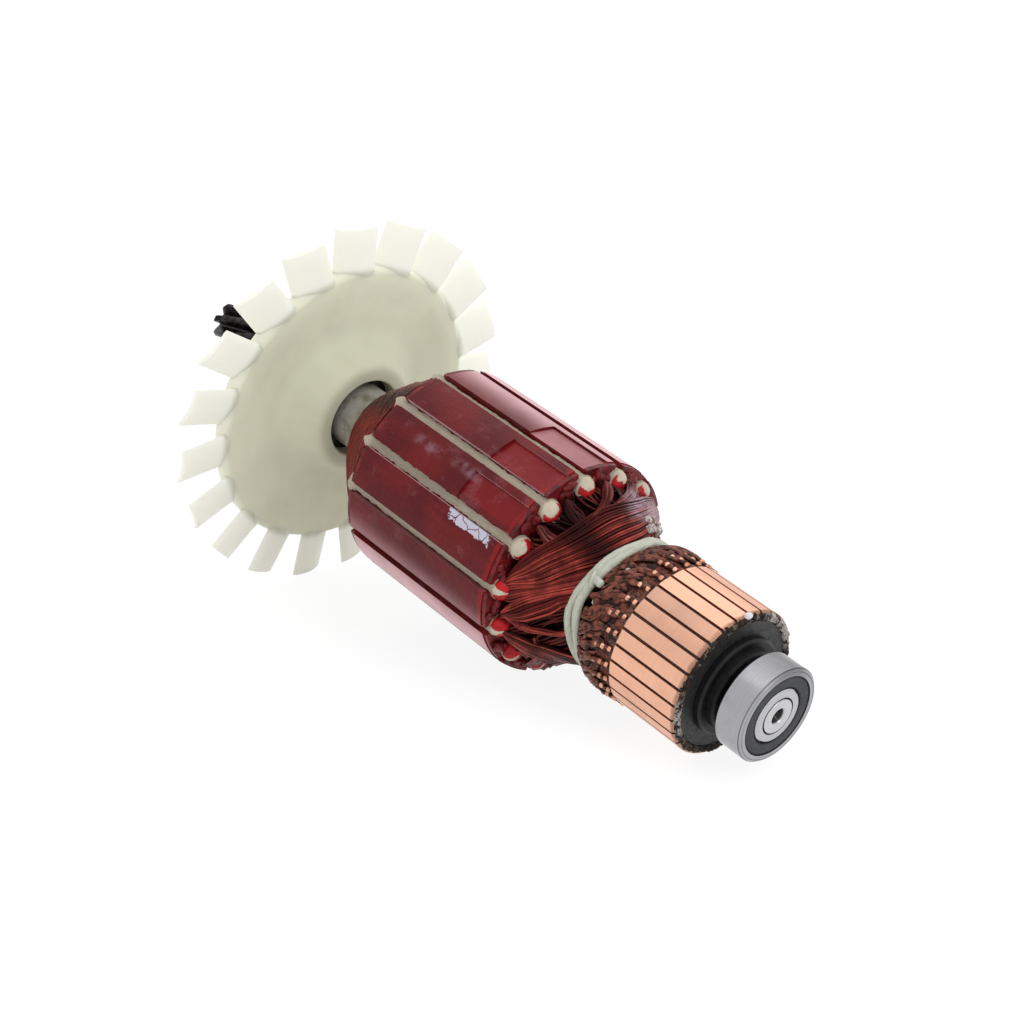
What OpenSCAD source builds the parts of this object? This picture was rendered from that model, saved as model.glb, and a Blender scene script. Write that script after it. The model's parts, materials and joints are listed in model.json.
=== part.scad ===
// Armature of a universal motor: shaft with a helical pinion, wound core, commutator,
// cooling fan and the sealed ball bearing of the commutator end.
// It lies as it comes to rest, on two fan blades and the front edge of the commutator.
// Each piece is built along the shaft: z = 0 is the bearing end of the shaft, z runs to the
// pinion, and +x is the side that ends up underneath. lie_down() puts the whole part to rest.

/* [Shaft] */
// Diameter of the bearing seat at the commutator end
seat_d = 8; // [7.6:0.1:8.4]
// Diameter of the shaft under the commutator
mid_d = 10.6; // [9.6:0.2:11]
// Diameter of the shaft in the core
core_shaft_d = 12.4; // [12:0.2:13]
// Diameter of the journal for the drive-end bearing
journal_d = 12; // [11:0.5:12]
// Length of that journal
journal_l = 12; // [8:1:16]
// Depth of the cone of the centre hole in each end
centre_depth = 2.2; // [1.4:0.2:3]
// Mouth diameter of the centre hole
centre_d = 3.9; // [2.8:0.1:4.4]
// Bevel on the turned edges
shaft_bevel = 0.4; // [0.2:0.1:0.6]
// Distance from the fan's hub to the journal
journal_gap = 0.5; // [0.3:0.1:2]
// Length of the neck between the journal and the pinion
pinion_neck = 4; // [3:0.5:8]
// Distance from the shaft's shoulder in front of the core to the insulating tube
shoulder_out = 3; // [1:0.5:4]

/* [Pinion] */
// Number of teeth
pinion_teeth = 7; // [6:1:9]
// Diameter over the teeth
pinion_d = 10.4; // [9.6:0.2:11]
// Depth of a tooth
tooth_h = 2.1; // [1.6:0.1:2.4]
// Length of the toothed part
pinion_l = 25; // [18:1:30]
// Helix angle of the teeth
helix_a = 20; // [10:1:28]

/* [Core] */
// Outer diameter of the lamination stack
core_d = 51; // [48:0.5:54]
// Length of the lamination stack
core_l = 45; // [36:1:56]
// Distance from the shaft end to the front of the core
core_z = 61.9; // [60:0.5:70]
// Number of slots
slots = 14; // [12:1:14]
// Turn of the slots about the shaft
slot_phase = 15.5; // [0:0.5:25]
// Width of the slot's mouth
mouth_w = 2.4; // [1.8:0.1:3]
// Thickness of the lip of a tooth
lip_h = 1; // [0.8:0.1:1.4]
// Width of a slot at its widest
slot_w = 5.6; // [5:0.1:6]
// Width of a slot at its bottom
slot_foot_w = 2.6; // [2:0.1:3]
// Depth of a slot below the outer surface
slot_depth = 10.6; // [9:0.1:11.5]
// Thickness of the fibre plate on each end of the core
end_plate_t = 1.2; // [0.8:0.1:2]
// Depth of the flats milled on the teeth for balance
cut_depth = 0.8; // [0.3:0.1:1]
// Length of those flats, from the front of the core
cut_l = 17; // [8:1:24]
// Wall of the insulating tube on the shaft
tube_wall = 1.7; // [1.2:0.1:2]
// How far that tube stands out of the core at the commutator end
tube_out = 9; // [7:0.5:11]

/* [Slot paper and winding] */
// Thickness of the slot paper
paper_t = 0.35; // [0.25:0.05:0.5]
// How far the paper stands out at the commutator end
paper_out = 3.4; // [2:0.2:4.5]
// How far it stands out at the fan end
paper_out_rear = 2.4; // [1.6:0.2:3]
// Length of the winding head at the fan end
rear_head_l = 23; // [16:0.5:24]
// How far that head lies inside the core's outer surface
rear_head_in = 2.3; // [2:0.1:5]
// How far the head at the commutator end lies inside that surface
front_head_in = 2.5; // [1.3:0.1:4]
// Radius of the rear head where it meets the insulating tube
rear_head_nose_r = 8.8; // [8.6:0.2:12]
// Radius of the front head under the lacing
neck_r = 14.1; // [13.1:0.2:14.5]
// How far round the shaft a bundle of the front head sweeps
sweep_a = 88; // [60:4:110]
// Depth of the valleys between two bundles
valley_h = 1.7; // [1:0.1:2.2]

/* [Commutator] */
// Diameter of the brush track
track_d = 33.7; // [32:0.1:35]
// Distance from the shaft end to the front face of the commutator
track_z = 12.9; // [12:0.1:14]
// Length of the bare brush track
track_l = 18.6; // [16:0.2:20]
// Length of the part of each bar that holds the leads
riser_l = 4.6; // [3.6:0.2:5.6]
// Bars for each slot of the core
bars_per_slot = 2; // [2:1:2]
// Turn of the bars about the shaft
bar_phase = 10.2; // [0:0.1:12.8]
// Chamfer on the front edge of a bar
bar_edge = 0.4; // [0.2:0.1:0.6]
// Width of the insulation between two bars
gap_w = 0.65; // [0.4:0.05:0.9]
// Depth by which that insulation is cut back
undercut = 0.5; // [0.2:0.1:0.8]
// Height of the copper ring seen on the front face
bar_face_h = 2; // [1.4:0.1:2.4]
// Depth of the foot of a bar
bar_foot_h = 2.8; // [2:0.1:3.4]
// Diameter of a winding lead
lead_d = 1; // [0.7:0.05:1.1]
// Length of the leads behind the bars
lead_l = 6; // [5:0.25:6.5]

/* [Lacing] */
// Thickness of the cord
cord_d = 1.8; // [1.4:0.1:2]
// Lean of the cord's turns across the shaft
cord_lean = 4; // [0:0.5:5]

/* [Front boss] */
// Diameter of the first step, against the commutator
boss_d1 = 22.6; // [20:0.2:24]
// Diameter of the second step
boss_d2 = 18.8; // [16:0.2:19.6]
// Diameter of the nose, against the bearing
boss_d3 = 11.6; // [11:0.1:12]
// Length of the nose
boss_nose_l = 1.9; // [1.4:0.1:2.4]
// Chamfer on the steps
boss_edge = 0.5; // [0.3:0.1:0.8]

/* [Fan] */
// Diameter of the disc
disc_d = 71; // [66:1:76]
// Distance from the shaft end to the rim plane of the disc
disc_z = 141.3; // [140:0.5:150]
// Thickness of the disc at its rim
rim_t = 4; // [3:0.2:6]
// Rounding of the rim's front edge
rim_round = 2.6; // [1.6:0.2:3]
// How far the front of the disc is dished between hub and rim
dish = 2.4; // [1.4:0.1:3]
// Thickness of the disc between hub and rim
web_t = 3; // [2.4:0.2:4]
// Diameter of the hub's raised boss
hub_d = 31; // [28:0.5:34]
// How far the hub boss stands out in front of the rim plane
hub_out = 6.8; // [5:0.2:8]
// Width of the fillet round the foot of the hub boss
hub_fillet = 6; // [3:0.5:8]
// Rounding of the edges of the hub boss
hub_round = 1.2; // [0.6:0.1:1.6]
// Diameter of the recess in the boss
recess_d = 19.6; // [19:0.2:22]
// Depth of that recess
recess_depth = 7; // [6:0.5:8]
// Thickness of the metal bush in the recess
bush_t = 2.4; // [1.6:0.2:3]
// Length of the hub from its front face to its back
hub_l = 15; // [14:1:20]
// Number of blades
blades = 19; // [15:2:19]
// Diameter over the blade tips
tip_d = 92.2; // [86:0.2:98]
// Chord of a blade
chord = 10.6; // [9:0.2:11]
// Thickness of a blade
blade_t = 1.5; // [1.2:0.1:2]
// Pitch of a blade against the plane of the disc
pitch_a = 16; // [10:1:24]
// Camber of a blade
camber = 0.9; // [0.4:0.1:1.2]
// Depth by which a blade is rooted in the rim
root_l = 3.4; // [2.4:0.2:4]
// Turn of the fan on the shaft, which brings two tips level with the floor
fan_phase = 3.17; // [0:0.01:18]

/* [Ball bearing] */
// Outer diameter
bearing_d = 22; // [20:0.5:23]
// Width
bearing_w = 7; // [6:0.2:7.2]
// Distance from the shaft end to its front face
bearing_z = 0.2; // [0:0.1:0.8]
// Diameter of the balls
ball_d = 3.9; // [3.4:0.1:4]
// Number of balls
balls = 7; // [6:1:7]
// Diameter of the inner ring's land
land_d = 12.4; // [12:0.1:12.6]
// Thickness of a seal
seal_t = 0.6; // [0.4:0.1:0.8]
// Chamfer on the edges of the outer ring
ring_chamfer = 0.5; // [0.3:0.1:0.7]
// Wall of the outer ring around a seal
outer_wall = 1.7; // [1.4:0.1:1.8]

/* [Clearances] */
// Gap at surfaces that are pressed, glued or moulded together
seat_gap = 0.04; // [0.02:0.01:0.06]
// Gap between paper, winding and core
wrap_gap = 0.1; // [0.05:0.05:0.2]
// Running gap between balls and races
ball_gap = 0.06; // [0.03:0.01:0.1]
// Running gap between seal and inner ring
seal_gap = 0.2; // [0.1:0.05:0.3]
// Gap all round the ball cage
cage_gap = 0.35; // [0.3:0.05:0.4]

/* [Hidden] */
$fn = 48;

bars = slots * bars_per_slot;
slot_pitch = 360 / slots;
bar_pitch = 360 / bars;
blade_pitch = 360 / blades;

core_r = core_d / 2;
core_end = core_z + core_l;
rear_head_r = core_r - rear_head_in;
front_head_r = core_r - front_head_in;
plate_step = 0.25;
// The teeth that carry a balance flat, and the wall that each flat leaves at one edge.
cut_teeth = [4, 5, 6];
cut_reach = 2.6;
tube_r = core_shaft_d / 2 + tube_wall;
tube_from = core_z - tube_out;

track_r = track_d / 2;
track_end = track_z + track_l;
riser_end = track_end + riser_l;
foot_r = track_r - bar_face_h - bar_foot_h;
mould_r = mid_d / 2 + seat_gap;
gap_a = gap_w / track_r * 180 / PI;

riser_r = track_r - lead_d * 0.5;
lead_end = riser_end + lead_l;
cord_turn = cord_d * 0.75;
cord_half = (cord_d + cord_turn) / 2 + wrap_gap;
cord_z = lead_end + cord_half;
cord_r = neck_r + wrap_gap + cord_d / 2;
cord_high_a = 140;
knot_a = 129;
head_front = cord_z + cord_half;

hub_z = disc_z - hub_out;
hub_end = hub_z + hub_l;
tube_to = hub_z + recess_depth - bush_t - 1;
root_r = disc_d / 2 - root_l;
rim_wall = 2;
tip_r = tip_d / 2;
journal_z = hub_end + journal_gap;
pinion_z = journal_z + journal_l + pinion_neck;
shaft_l = pinion_z + pinion_l;

bearing_r = bearing_d / 2;
land_r = land_d / 2;
ball_r = ball_d / 2;
ball_z = bearing_z + bearing_w / 2;
seal_seat_r = bearing_r - outer_wall;
seal_ledge = 0.4;
outer_land_r = seal_seat_r - seal_ledge;
ball_pitch_r = (land_r + outer_land_r) / 2;
seal_inset = 0.15;
cage_w = bearing_w - 2 * (seal_inset + seal_t + cage_gap);
cage_in = land_r + cage_gap;
cage_out = outer_land_r - cage_gap;
shoulder_z = bearing_z + bearing_w;

// The floor touches the front edge of the track and the fan tip that needs the most tilt.
tip_edge = chord / 2 * cos(pitch_a);
edge_z = track_z + bar_edge;
tip_corners = [
    for (i = [0:blades - 1])
        let (a = fan_phase + i * blade_pitch)
        each [
            [tip_r * cos(a) - tip_edge * sin(a), disc_z],
            [tip_r * cos(a) + tip_edge * sin(a), disc_z + chord * sin(pitch_a)]
        ]
];
tilt = max([for (c = tip_corners) atan((c[0] - track_r) / (c[1] - edge_z))]);

function two(n) = n < 10 ? str("0", n) : str(n);
bar_names = [for (i = [1:bars]) str("commutator_bar_", two(i))];
paper_names = [for (i = [1:slots]) str("slot_paper_", two(i))];

// Turns and lifts what is built along the shaft into its place at rest.
module lie_down() {
    rise = track_r * cos(tilt) - edge_z * sin(tilt);
    far_x = shaft_l * cos(tilt) + (pinion_d / 2) * sin(tilt);
    near_x = (bearing_r - ring_chamfer) * sin(tilt) - bearing_z * cos(tilt);
    half = (far_x - near_x) / 2;
    translate([half, 0, rise])
        rotate([0, 90 - tilt, 180])
            children();
}

// A ring or disc along the shaft.
module ring(outer, inner, from, to) {
    translate([0, 0, from])
        rotate_extrude()
            translate([inner, 0])
                square([outer - inner, to - from]);
}

// A point at an angle and a radius.
function polar(r, a) = [r * cos(a), r * sin(a)];

// One tooth of the pinion: root, flank, rounded tip, flank.
function tooth_points(i) =
    let (
        p = 360 / pinion_teeth,
        tip = pinion_d / 2,
        root = tip - tooth_h
    )
    [
        polar(root, (i - 0.5) * p),
        polar(root + tooth_h * 0.06, (i - 0.36) * p),
        polar(root + tooth_h * 0.42, (i - 0.25) * p),
        polar(root + tooth_h * 0.82, (i - 0.17) * p),
        polar(tip, (i - 0.09) * p),
        polar(tip, (i + 0.09) * p),
        polar(root + tooth_h * 0.82, (i + 0.17) * p),
        polar(root + tooth_h * 0.42, (i + 0.25) * p),
        polar(root + tooth_h * 0.06, (i + 0.36) * p)
    ];

// The helical teeth at the end of the shaft.
module pinion_teeth_solid() {
    outline = [for (i = [0:pinion_teeth - 1]) each tooth_points(i)];
    pitch_r = (pinion_d - tooth_h) / 2;
    turn = pinion_l * tan(helix_a) / pitch_r * 180 / PI;
    linear_extrude(height = pinion_l, twist = turn, slices = 14)
        polygon(outline);
}

// Half outline of the turned shaft, from the bearing end to the pinion.
module shaft_outline() {
    seat = seat_d / 2;
    mid = mid_d / 2;
    big = core_shaft_d / 2;
    jr = journal_d / 2;
    root = pinion_d / 2 - tooth_h;
    bevel = shaft_bevel;
    step_z = tube_from - shoulder_out;
    journal_end = journal_z + journal_l;
    polygon([
        [0, centre_depth],
        [centre_d / 2, 0],
        [seat - bevel, 0],
        [seat, bevel],
        [seat, shoulder_z],
        [mid, shoulder_z],
        [mid, step_z],
        [big, step_z + 1],
        [big, hub_end],
        [jr, journal_z],
        [jr, journal_end - bevel],
        [jr - bevel, journal_end],
        [root, journal_end + pinion_neck * 0.4],
        [root, pinion_z],
        [0, pinion_z]
    ]);
}

module shaft() {
    color("silver")
        difference() {
            union() {
                rotate_extrude()
                    shaft_outline();
                translate([0, 0, pinion_z])
                    pinion_teeth_solid();
            }
            translate([0, 0, shaft_l - centre_depth])
                cylinder(h = centre_depth + 0.01, r1 = 0.2, r2 = centre_d / 3);
        }
}

module shaft_tube() {
    color("gainsboro")
        ring(tube_r, core_shaft_d / 2 + seat_gap, tube_from, tube_to);
}

// Pear-shaped outline of one slot, pointing along +x: a round crown under the mouth, then
// straight flanks to a rounded bottom. inset draws it in on every wall.
module slot_shape(inset, mouth) {
    crown_r = slot_w / 2 - inset;
    crown_x = core_r - lip_h - slot_w / 2;
    foot_r = slot_foot_w / 2 - inset;
    foot_x = core_r - slot_depth + slot_foot_w / 2;
    lean = asin((crown_r - foot_r) / (crown_x - foot_x));
    m = mouth_w / 2 - inset;
    start = asin(m / crown_r);
    steps = 6;
    side = [
        for (i = [0:steps])
            let (a = start + (90 + lean - start) * i / steps)
            [crown_x + crown_r * cos(a), crown_r * sin(a)]
    ];
    foot = [
        for (i = [0:steps])
            let (a = 90 + lean + (180 - 2 * lean) * i / steps)
            [foot_x + foot_r * cos(a), foot_r * sin(a)]
    ];
    mirrored = [for (i = [steps:-1:0]) [side[i][0], -side[i][1]]];
    open = mouth ? [[core_r + 2, -m], [core_r + 2, m]] : [];
    polygon(concat(open, side, foot, mirrored));
}

module each_slot() {
    for (i = [0:slots - 1])
        rotate(slot_phase + i * slot_pitch)
            children();
}

// A slice of the core with its teeth and slots.
module toothed_plate(radius, bore, from, to) {
    difference() {
        ring(radius, bore, from, to);
        translate([0, 0, from - 1])
            linear_extrude(to - from + 2)
                each_slot()
                    slot_shape(0, true);
    }
}

// Flats milled into the front half of a few teeth to balance the armature.
module balance_cuts() {
    for (i = cut_teeth)
        rotate(slot_phase + (i + 0.5) * slot_pitch)
            translate([core_r - cut_depth, -slot_w * 2, core_z - 1])
                cube([cut_depth + 1, slot_w * 2 + cut_reach, cut_l + 1]);
}

module lamination_stack() {
    color("firebrick")
        difference() {
            toothed_plate(core_r, tube_r + seat_gap, core_z, core_end);
            balance_cuts();
        }
}

module front_end_plate() {
    color("red")
        toothed_plate(core_r - plate_step, tube_r + seat_gap, core_z - end_plate_t, core_z - seat_gap);
}

module rear_end_plate() {
    color("red")
        toothed_plate(core_r - plate_step, tube_r + seat_gap, core_end + seat_gap, core_end + end_plate_t);
}

// The folded paper that lines slot i and closes its mouth.
module slot_paper(i) {
    from = core_z - end_plate_t - paper_out;
    to = core_end + end_plate_t + paper_out_rear;
    color("linen")
        rotate(slot_phase + (i - 1) * slot_pitch)
            translate([0, 0, from])
                linear_extrude(to - from)
                    difference() {
                        slot_shape(wrap_gap, false);
                        slot_shape(wrap_gap + paper_t, false);
                    }
}

// Half outline of the smooth head at the fan end.
module rear_head_outline() {
    z0 = core_end + end_plate_t + paper_out_rear + wrap_gap;
    z1 = core_end + rear_head_l;
    inner = tube_r + wrap_gap;
    steps = 8;
    // 1 gives a round dome, 2 a straight cone.
    dome_power = 1.6;
    polygon(concat(
        [[inner, z1], [inner, z0]],
        [for (i = [0:steps])
            let (a = 90 * i / steps)
            [
                rear_head_nose_r + (rear_head_r - rear_head_nose_r) * pow(cos(a), dome_power),
                z0 + (z1 - z0) * pow(sin(a), 2)
            ]
        ]
    ));
}

module winding() {
    from = core_z - end_plate_t - paper_out + wrap_gap;
    to = core_end + end_plate_t + paper_out_rear + wrap_gap;
    color("maroon") {
        rotate_extrude()
            rear_head_outline();
        translate([0, 0, from])
            linear_extrude(to - from + 0.5)
                each_slot()
                    slot_shape(2 * wrap_gap + paper_t, false);
    }
}

// The head at the commutator end is one closed surface round the shaft. Its outline is a loop
// of rings, and each ring has the same number of columns. Pattern by column makes the leads on
// the bars and the bundles of turns, which sweep round the shaft from the slots to the lacing.

// Heights of one bundle across its columns: a valley, then a row of strands.
bundle_profile = [-1, -0.4, -0.08, -0.22, 0, -0.2, 0.03, -0.2, 0, -0.22, -0.08, -0.4];
// Height of the two leads across the columns of one bar, as a share of the lead's thickness.
lead_profile = [0.3, 0.85, 1, 0.35, 1, 0.85];
// The first of the two leads starts at the track, and the second a little behind it.
first_lead = [0.1, 0.85, 1, 0.2, 0.1, 0.1];

columns = slots * len(bundle_profile);
column_a = 360 / columns;
slot_column = round((slot_phase - bar_phase) / column_a);
// Places along the head, and the share of the sweep that each step makes.
bundle_steps = [0.06, 0.15, 0.26, 0.39, 0.53, 0.68, 0.84, 1];
sweep_shares = [0.01, 0.04, 0.09, 0.14, 0.17, 0.18, 0.19, 0.18];
sweep_columns = [for (share = sweep_shares) round(sweep_a * share / column_a)];
last_lead_ring = 8;
valley_at_neck = 0.4;

head_back = core_z - end_plate_t - paper_out - wrap_gap;
head_bore = core_shaft_d / 2 + wrap_gap;
riser_skin = riser_r + seat_gap;

// Swell of the head between the lacing (0) and the core (1): a hollow cone below 1.
head_swell = 0.8;
function swell(q) = 1 - pow(1 - q, head_swell);
function pick(list, k) = list[((k % len(list)) + len(list)) % len(list)];

// Each ring: its radius, its place along the shaft, the height of its pattern, the pattern,
// and whether the ring leans with the lacing.
head_rings = concat(
    [
        [riser_skin, track_end + seat_gap, 0, "none", 0],
        [riser_skin, track_end + seat_gap + 0.02, lead_d, "first", 0],
        [riser_skin, track_end + lead_d * 1.1, lead_d, "first", 0],
        [riser_skin, track_end + lead_d * 1.3, lead_d, "leads", 0],
        [riser_skin, riser_end, lead_d, "leads", 0],
        [riser_skin, riser_end + lead_l / 2, lead_d * 0.9, "leads", 0],
        [neck_r + 0.9, lead_end, lead_d * 0.5, "leads", 1],
        [neck_r, lead_end + 0.05, lead_d * 0.1, "leads", 1],
        [neck_r, head_front - 0.05, lead_d * 0.1, "bundles", 1]
    ],
    [for (q = bundle_steps)
        [
            neck_r + (front_head_r - neck_r) * swell(q),
            head_front + (head_back - head_front) * q,
            valley_at_neck + (valley_h - valley_at_neck) * swell(q),
            "bundles",
            pow(1 - q, 3)
        ]
    ],
    [
        [front_head_r - valley_h - 0.6, head_back + 0.02, 0, "none", 0],
        [tube_r + wrap_gap, head_back, 0, "none", 0],
        [tube_r + wrap_gap, tube_from - wrap_gap, 0, "none", 0],
        [head_bore, tube_from - wrap_gap, 0, "none", 0],
        [head_bore, riser_end + wrap_gap, 0, "none", 0],
        [riser_skin, riser_end + wrap_gap, 0, "none", 0]
    ]
);

// Number of the step that leads from ring i to the next one, or -1 where nothing sweeps.
function step_of(i) = i >= last_lead_ring && i - last_lead_ring < len(bundle_steps) ? i - last_lead_ring : -1;

// Columns by which the faces slant between ring i and the next one.
function slant(i) = step_of(i) < 0 ? 0 : -sweep_columns[step_of(i)];

// How many columns the bundles have moved round at ring i, counted from the slots.
function swept(i) = i >= last_lead_ring + len(bundle_steps) ? 0 : swept(i + 1) - slant(i);

function pattern(i, j) =
    let (kind = head_rings[i][3], bundle_j = j - slot_column - len(bundle_profile) / 2)
    kind == "first" ? pick(first_lead, j) :
    kind == "leads" ? pick(lead_profile, j) :
    kind == "bundles" ? pick(bundle_profile, bundle_j - swept(i)) : 0;

function head_point(i, j) =
    let (
        ring = head_rings[i],
        r = ring[0] + ring[2] * pattern(i, j),
        a = bar_phase + j * column_a,
        lean = ring[4] * ring[0] * tan(cord_lean) * cos(a - cord_high_a)
    )
    [r * cos(a), r * sin(a), ring[1] + lean];

module winding_front_head() {
    rings = len(head_rings);
    points = [for (i = [0:rings - 1]) for (j = [0:columns - 1]) head_point(i, j)];
    function at(i, j) = (i % rings) * columns + ((j % columns) + columns) % columns;
    faces = [
        for (i = [0:rings - 1])
            for (j = [0:columns - 1])
                let (s = slant(i))
                each [
                    [at(i, j), at(i + 1, j + s), at(i, j + 1)],
                    [at(i, j + 1), at(i + 1, j + s), at(i + 1, j + 1 + s)]
                ]
    ];
    color("saddlebrown")
        polyhedron(points, faces);
}

// Two turns side by side, which lean across the shaft, and the stub of the knot.
module lacing_cord() {
    stub_l = cord_d * 1.4;
    color("honeydew")
        translate([0, 0, cord_z])
            rotate([0, cord_lean, cord_high_a - 180])
                union() {
                    for (k = [-0.5, 0.5])
                        rotate_extrude()
                            translate([cord_r, k * cord_turn])
                                circle(d = cord_d);
                    rotate(knot_a - cord_high_a + 180)
                        translate([cord_r + cord_d * 0.3, 0, -cord_turn / 2])
                            rotate([0, 60, 0])
                                cylinder(h = stub_l, d = cord_d * 0.8);
                }
}

// The foot of a bar has a hook at each end, which the moulding grips.
neck_in = 2.2;
hook_in = 3.4;
hook_h = 1;
foot_in = 2;

// Section of a bar in the plane of the shaft: track, front notch, dovetail foot, riser.
module bar_outline(grow) {
    face = track_r - bar_face_h;
    polygon([
        [track_r, track_z + bar_edge],
        [track_r - bar_edge, track_z],
        [face - grow, track_z],
        [face - grow, track_z + neck_in - grow],
        [foot_r + hook_h - grow, track_z + hook_in - 2 * grow],
        [foot_r - grow, track_z + foot_in - grow],
        [foot_r - grow, riser_end - foot_in + grow],
        [foot_r + hook_h - grow, riser_end - hook_in + 2 * grow],
        [face - grow, riser_end - neck_in + grow],
        [face - grow, riser_end],
        [riser_r, riser_end],
        [riser_r, track_end],
        [track_r, track_end]
    ]);
}

module bar_solid(grow) {
    rotate(bar_phase + gap_a / 2 - grow * 3)
        rotate_extrude(angle = bar_pitch - gap_a + grow * 6)
            bar_outline(grow);
}

module commutator_bar(i) {
    color("lightsalmon")
        rotate((i - 1) * bar_pitch)
            bar_solid(0);
}

module commutator_hub() {
    color("dimgray")
        difference() {
            ring(track_r - undercut, mould_r, track_z, riser_end);
            for (i = [0:bars - 1])
                rotate(i * bar_pitch)
                    bar_solid(seat_gap);
            ring(track_r, riser_r - seat_gap, track_end - seat_gap, riser_end + 1);
            ring(track_r, track_r - bar_face_h, track_z - 1, track_z + 0.3);
        }
}

module front_boss() {
    step_l = (track_z - shoulder_z - boss_nose_l) / 2;
    z0 = shoulder_z + seat_gap;
    z1 = shoulder_z + boss_nose_l;
    color("black")
        rotate_extrude()
            polygon([
                [mould_r, z0],
                [boss_d3 / 2, z0],
                [boss_d3 / 2, z1],
                [boss_d2 / 2 - boss_edge, z1],
                [boss_d2 / 2, z1 + boss_edge],
                [boss_d2 / 2, z1 + step_l],
                [boss_d1 / 2 - boss_edge, z1 + step_l],
                [boss_d1 / 2, z1 + step_l + boss_edge],
                [boss_d1 / 2, track_z - seat_gap],
                [mould_r, track_z - seat_gap]
            ]);
}

// Half outline of the moulded fan without its blades.
module fan_outline() {
    rim = disc_d / 2;
    hub = hub_d / 2;
    back = disc_z + rim_t;
    web = web_t;
    round_steps = 5;
    polygon(concat(
        [
            [core_shaft_d / 2 + seat_gap, hub_end],
            [core_shaft_d / 2 + seat_gap, hub_z + recess_depth],
            [recess_d / 2, hub_z + recess_depth],
            [recess_d / 2, hub_z + hub_round / 2],
            [recess_d / 2 + hub_round / 2, hub_z],
            [hub - hub_round, hub_z],
            [hub - hub_round * 0.3, hub_z + hub_round * 0.3],
            [hub, hub_z + hub_round],
            [hub + hub_fillet * 0.13, disc_z + dish - hub_fillet * 0.2],
            [hub + hub_fillet * 0.4, disc_z + dish],
            [hub + hub_fillet, disc_z + dish * 0.7]
        ],
        [for (i = [0:round_steps])
            let (a = 90 - 90 * i / round_steps)
            [rim - rim_round + rim_round * cos(a), disc_z + rim_round * (1 - sin(a))]
        ],
        [
            [rim, back],
            [rim - rim_wall, back],
            [rim - rim_wall - 1.2, disc_z + dish + web],
            [hub + 2, disc_z + dish + web],
            [hub - 2, disc_z + dish + web + 1],
            [hub - 4, hub_end]
        ]
    ));
}

// Cambered section of a blade, across its chord: front edge at +y.
module blade_section() {
    n = 5;
    function mid(t) = [camber * (1 - t * t), t * chord / 2];
    polygon(concat(
        [for (i = [-n:n]) mid(i / n)],
        [for (i = [n:-1:-n]) mid(i / n) + [-blade_t * (1 - 0.35 * abs(i / n)), 0]]
    ));
}

// A blade points along +x, and its section is pitched about that line.
module blade() {
    translate([root_r, 0, disc_z + tip_edge * tan(pitch_a)])
        rotate([0, 90, 0])
            linear_extrude(tip_r - root_r)
                rotate(-pitch_a)
                    blade_section();
}

module fan() {
    color("ivory")
        union() {
            rotate_extrude()
                fan_outline();
            for (i = [0:blades - 1])
                rotate(fan_phase + i * blade_pitch)
                    blade();
        }
}

module fan_bush() {
    bottom = hub_z + recess_depth;
    color("darkslategray")
        ring(recess_d / 2 - seat_gap, core_shaft_d / 2 + seat_gap, bottom - bush_t, bottom - seat_gap);
}

// Ring-shaped groove in which the balls run.
module ball_track(gap) {
    translate([0, 0, ball_z])
        rotate_extrude()
            translate([ball_pitch_r, 0])
                circle(r = ball_r + gap);
}

module bearing_outer_ring() {
    c = ring_chamfer;
    z0 = bearing_z;
    z1 = bearing_z + bearing_w;
    s = seal_inset + seal_t;
    color("lightgray")
        difference() {
            rotate_extrude($fn = 96)
                polygon([
                    [outer_land_r, z0 + s],
                    [seal_seat_r, z0 + s],
                    [seal_seat_r, z0],
                    [bearing_r - c, z0],
                    [bearing_r, z0 + c],
                    [bearing_r, z1 - c],
                    [bearing_r - c, z1],
                    [seal_seat_r, z1],
                    [seal_seat_r, z1 - s],
                    [outer_land_r, z1 - s]
                ]);
            ball_track(ball_gap);
        }
}

module bearing_inner_ring() {
    c = 0.3;
    z0 = bearing_z;
    z1 = bearing_z + bearing_w - seat_gap;
    bore = seat_d / 2 + seat_gap;
    color("lightgray")
        difference() {
            rotate_extrude()
                polygon([
                    [bore + c, z0],
                    [land_r - c, z0],
                    [land_r, z0 + c],
                    [land_r, z1 - c],
                    [land_r - c, z1],
                    [bore + c, z1],
                    [bore, z1 - c],
                    [bore, z0 + c]
                ]);
            ball_track(ball_gap);
        }
}

module bearing_cage() {
    color("goldenrod")
        difference() {
            ring(cage_out, cage_in, ball_z - cage_w / 2, ball_z + cage_w / 2);
            for (i = [0:balls - 1])
                rotate(i * 360 / balls)
                    translate([cage_in - 0.5, 0, ball_z])
                        rotate([0, 90, 0])
                            cylinder(r = ball_r + ball_gap, h = cage_out - cage_in + 1);
        }
}

module bearing_balls() {
    color("whitesmoke")
        for (i = [0:balls - 1])
            rotate(i * 360 / balls)
                translate([ball_pitch_r, 0, ball_z])
                    sphere(r = ball_r);
}

module bearing_seal(from) {
    color("dimgray")
        ring(seal_seat_r - seat_gap, land_r + seal_gap, from, from + seal_t - seat_gap);
}

module bearing_front_seal() {
    bearing_seal(bearing_z + seal_inset);
}

module bearing_rear_seal() {
    bearing_seal(bearing_z + bearing_w - seal_inset - seal_t + seat_gap);
}

lie_down() shaft();
lie_down() shaft_tube();
lie_down() lamination_stack();
lie_down() front_end_plate();
lie_down() rear_end_plate();
lie_down() winding();
lie_down() winding_front_head();
lie_down() lacing_cord();
lie_down() commutator_hub();
lie_down() front_boss();
lie_down() fan();
lie_down() fan_bush();
lie_down() bearing_outer_ring();
lie_down() bearing_inner_ring();
lie_down() bearing_cage();
lie_down() bearing_balls();
lie_down() bearing_front_seal();
lie_down() bearing_rear_seal();
for (i = [1:bars]) lie_down() commutator_bar(i);
for (i = [1:slots]) lie_down() slot_paper(i);
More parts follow.
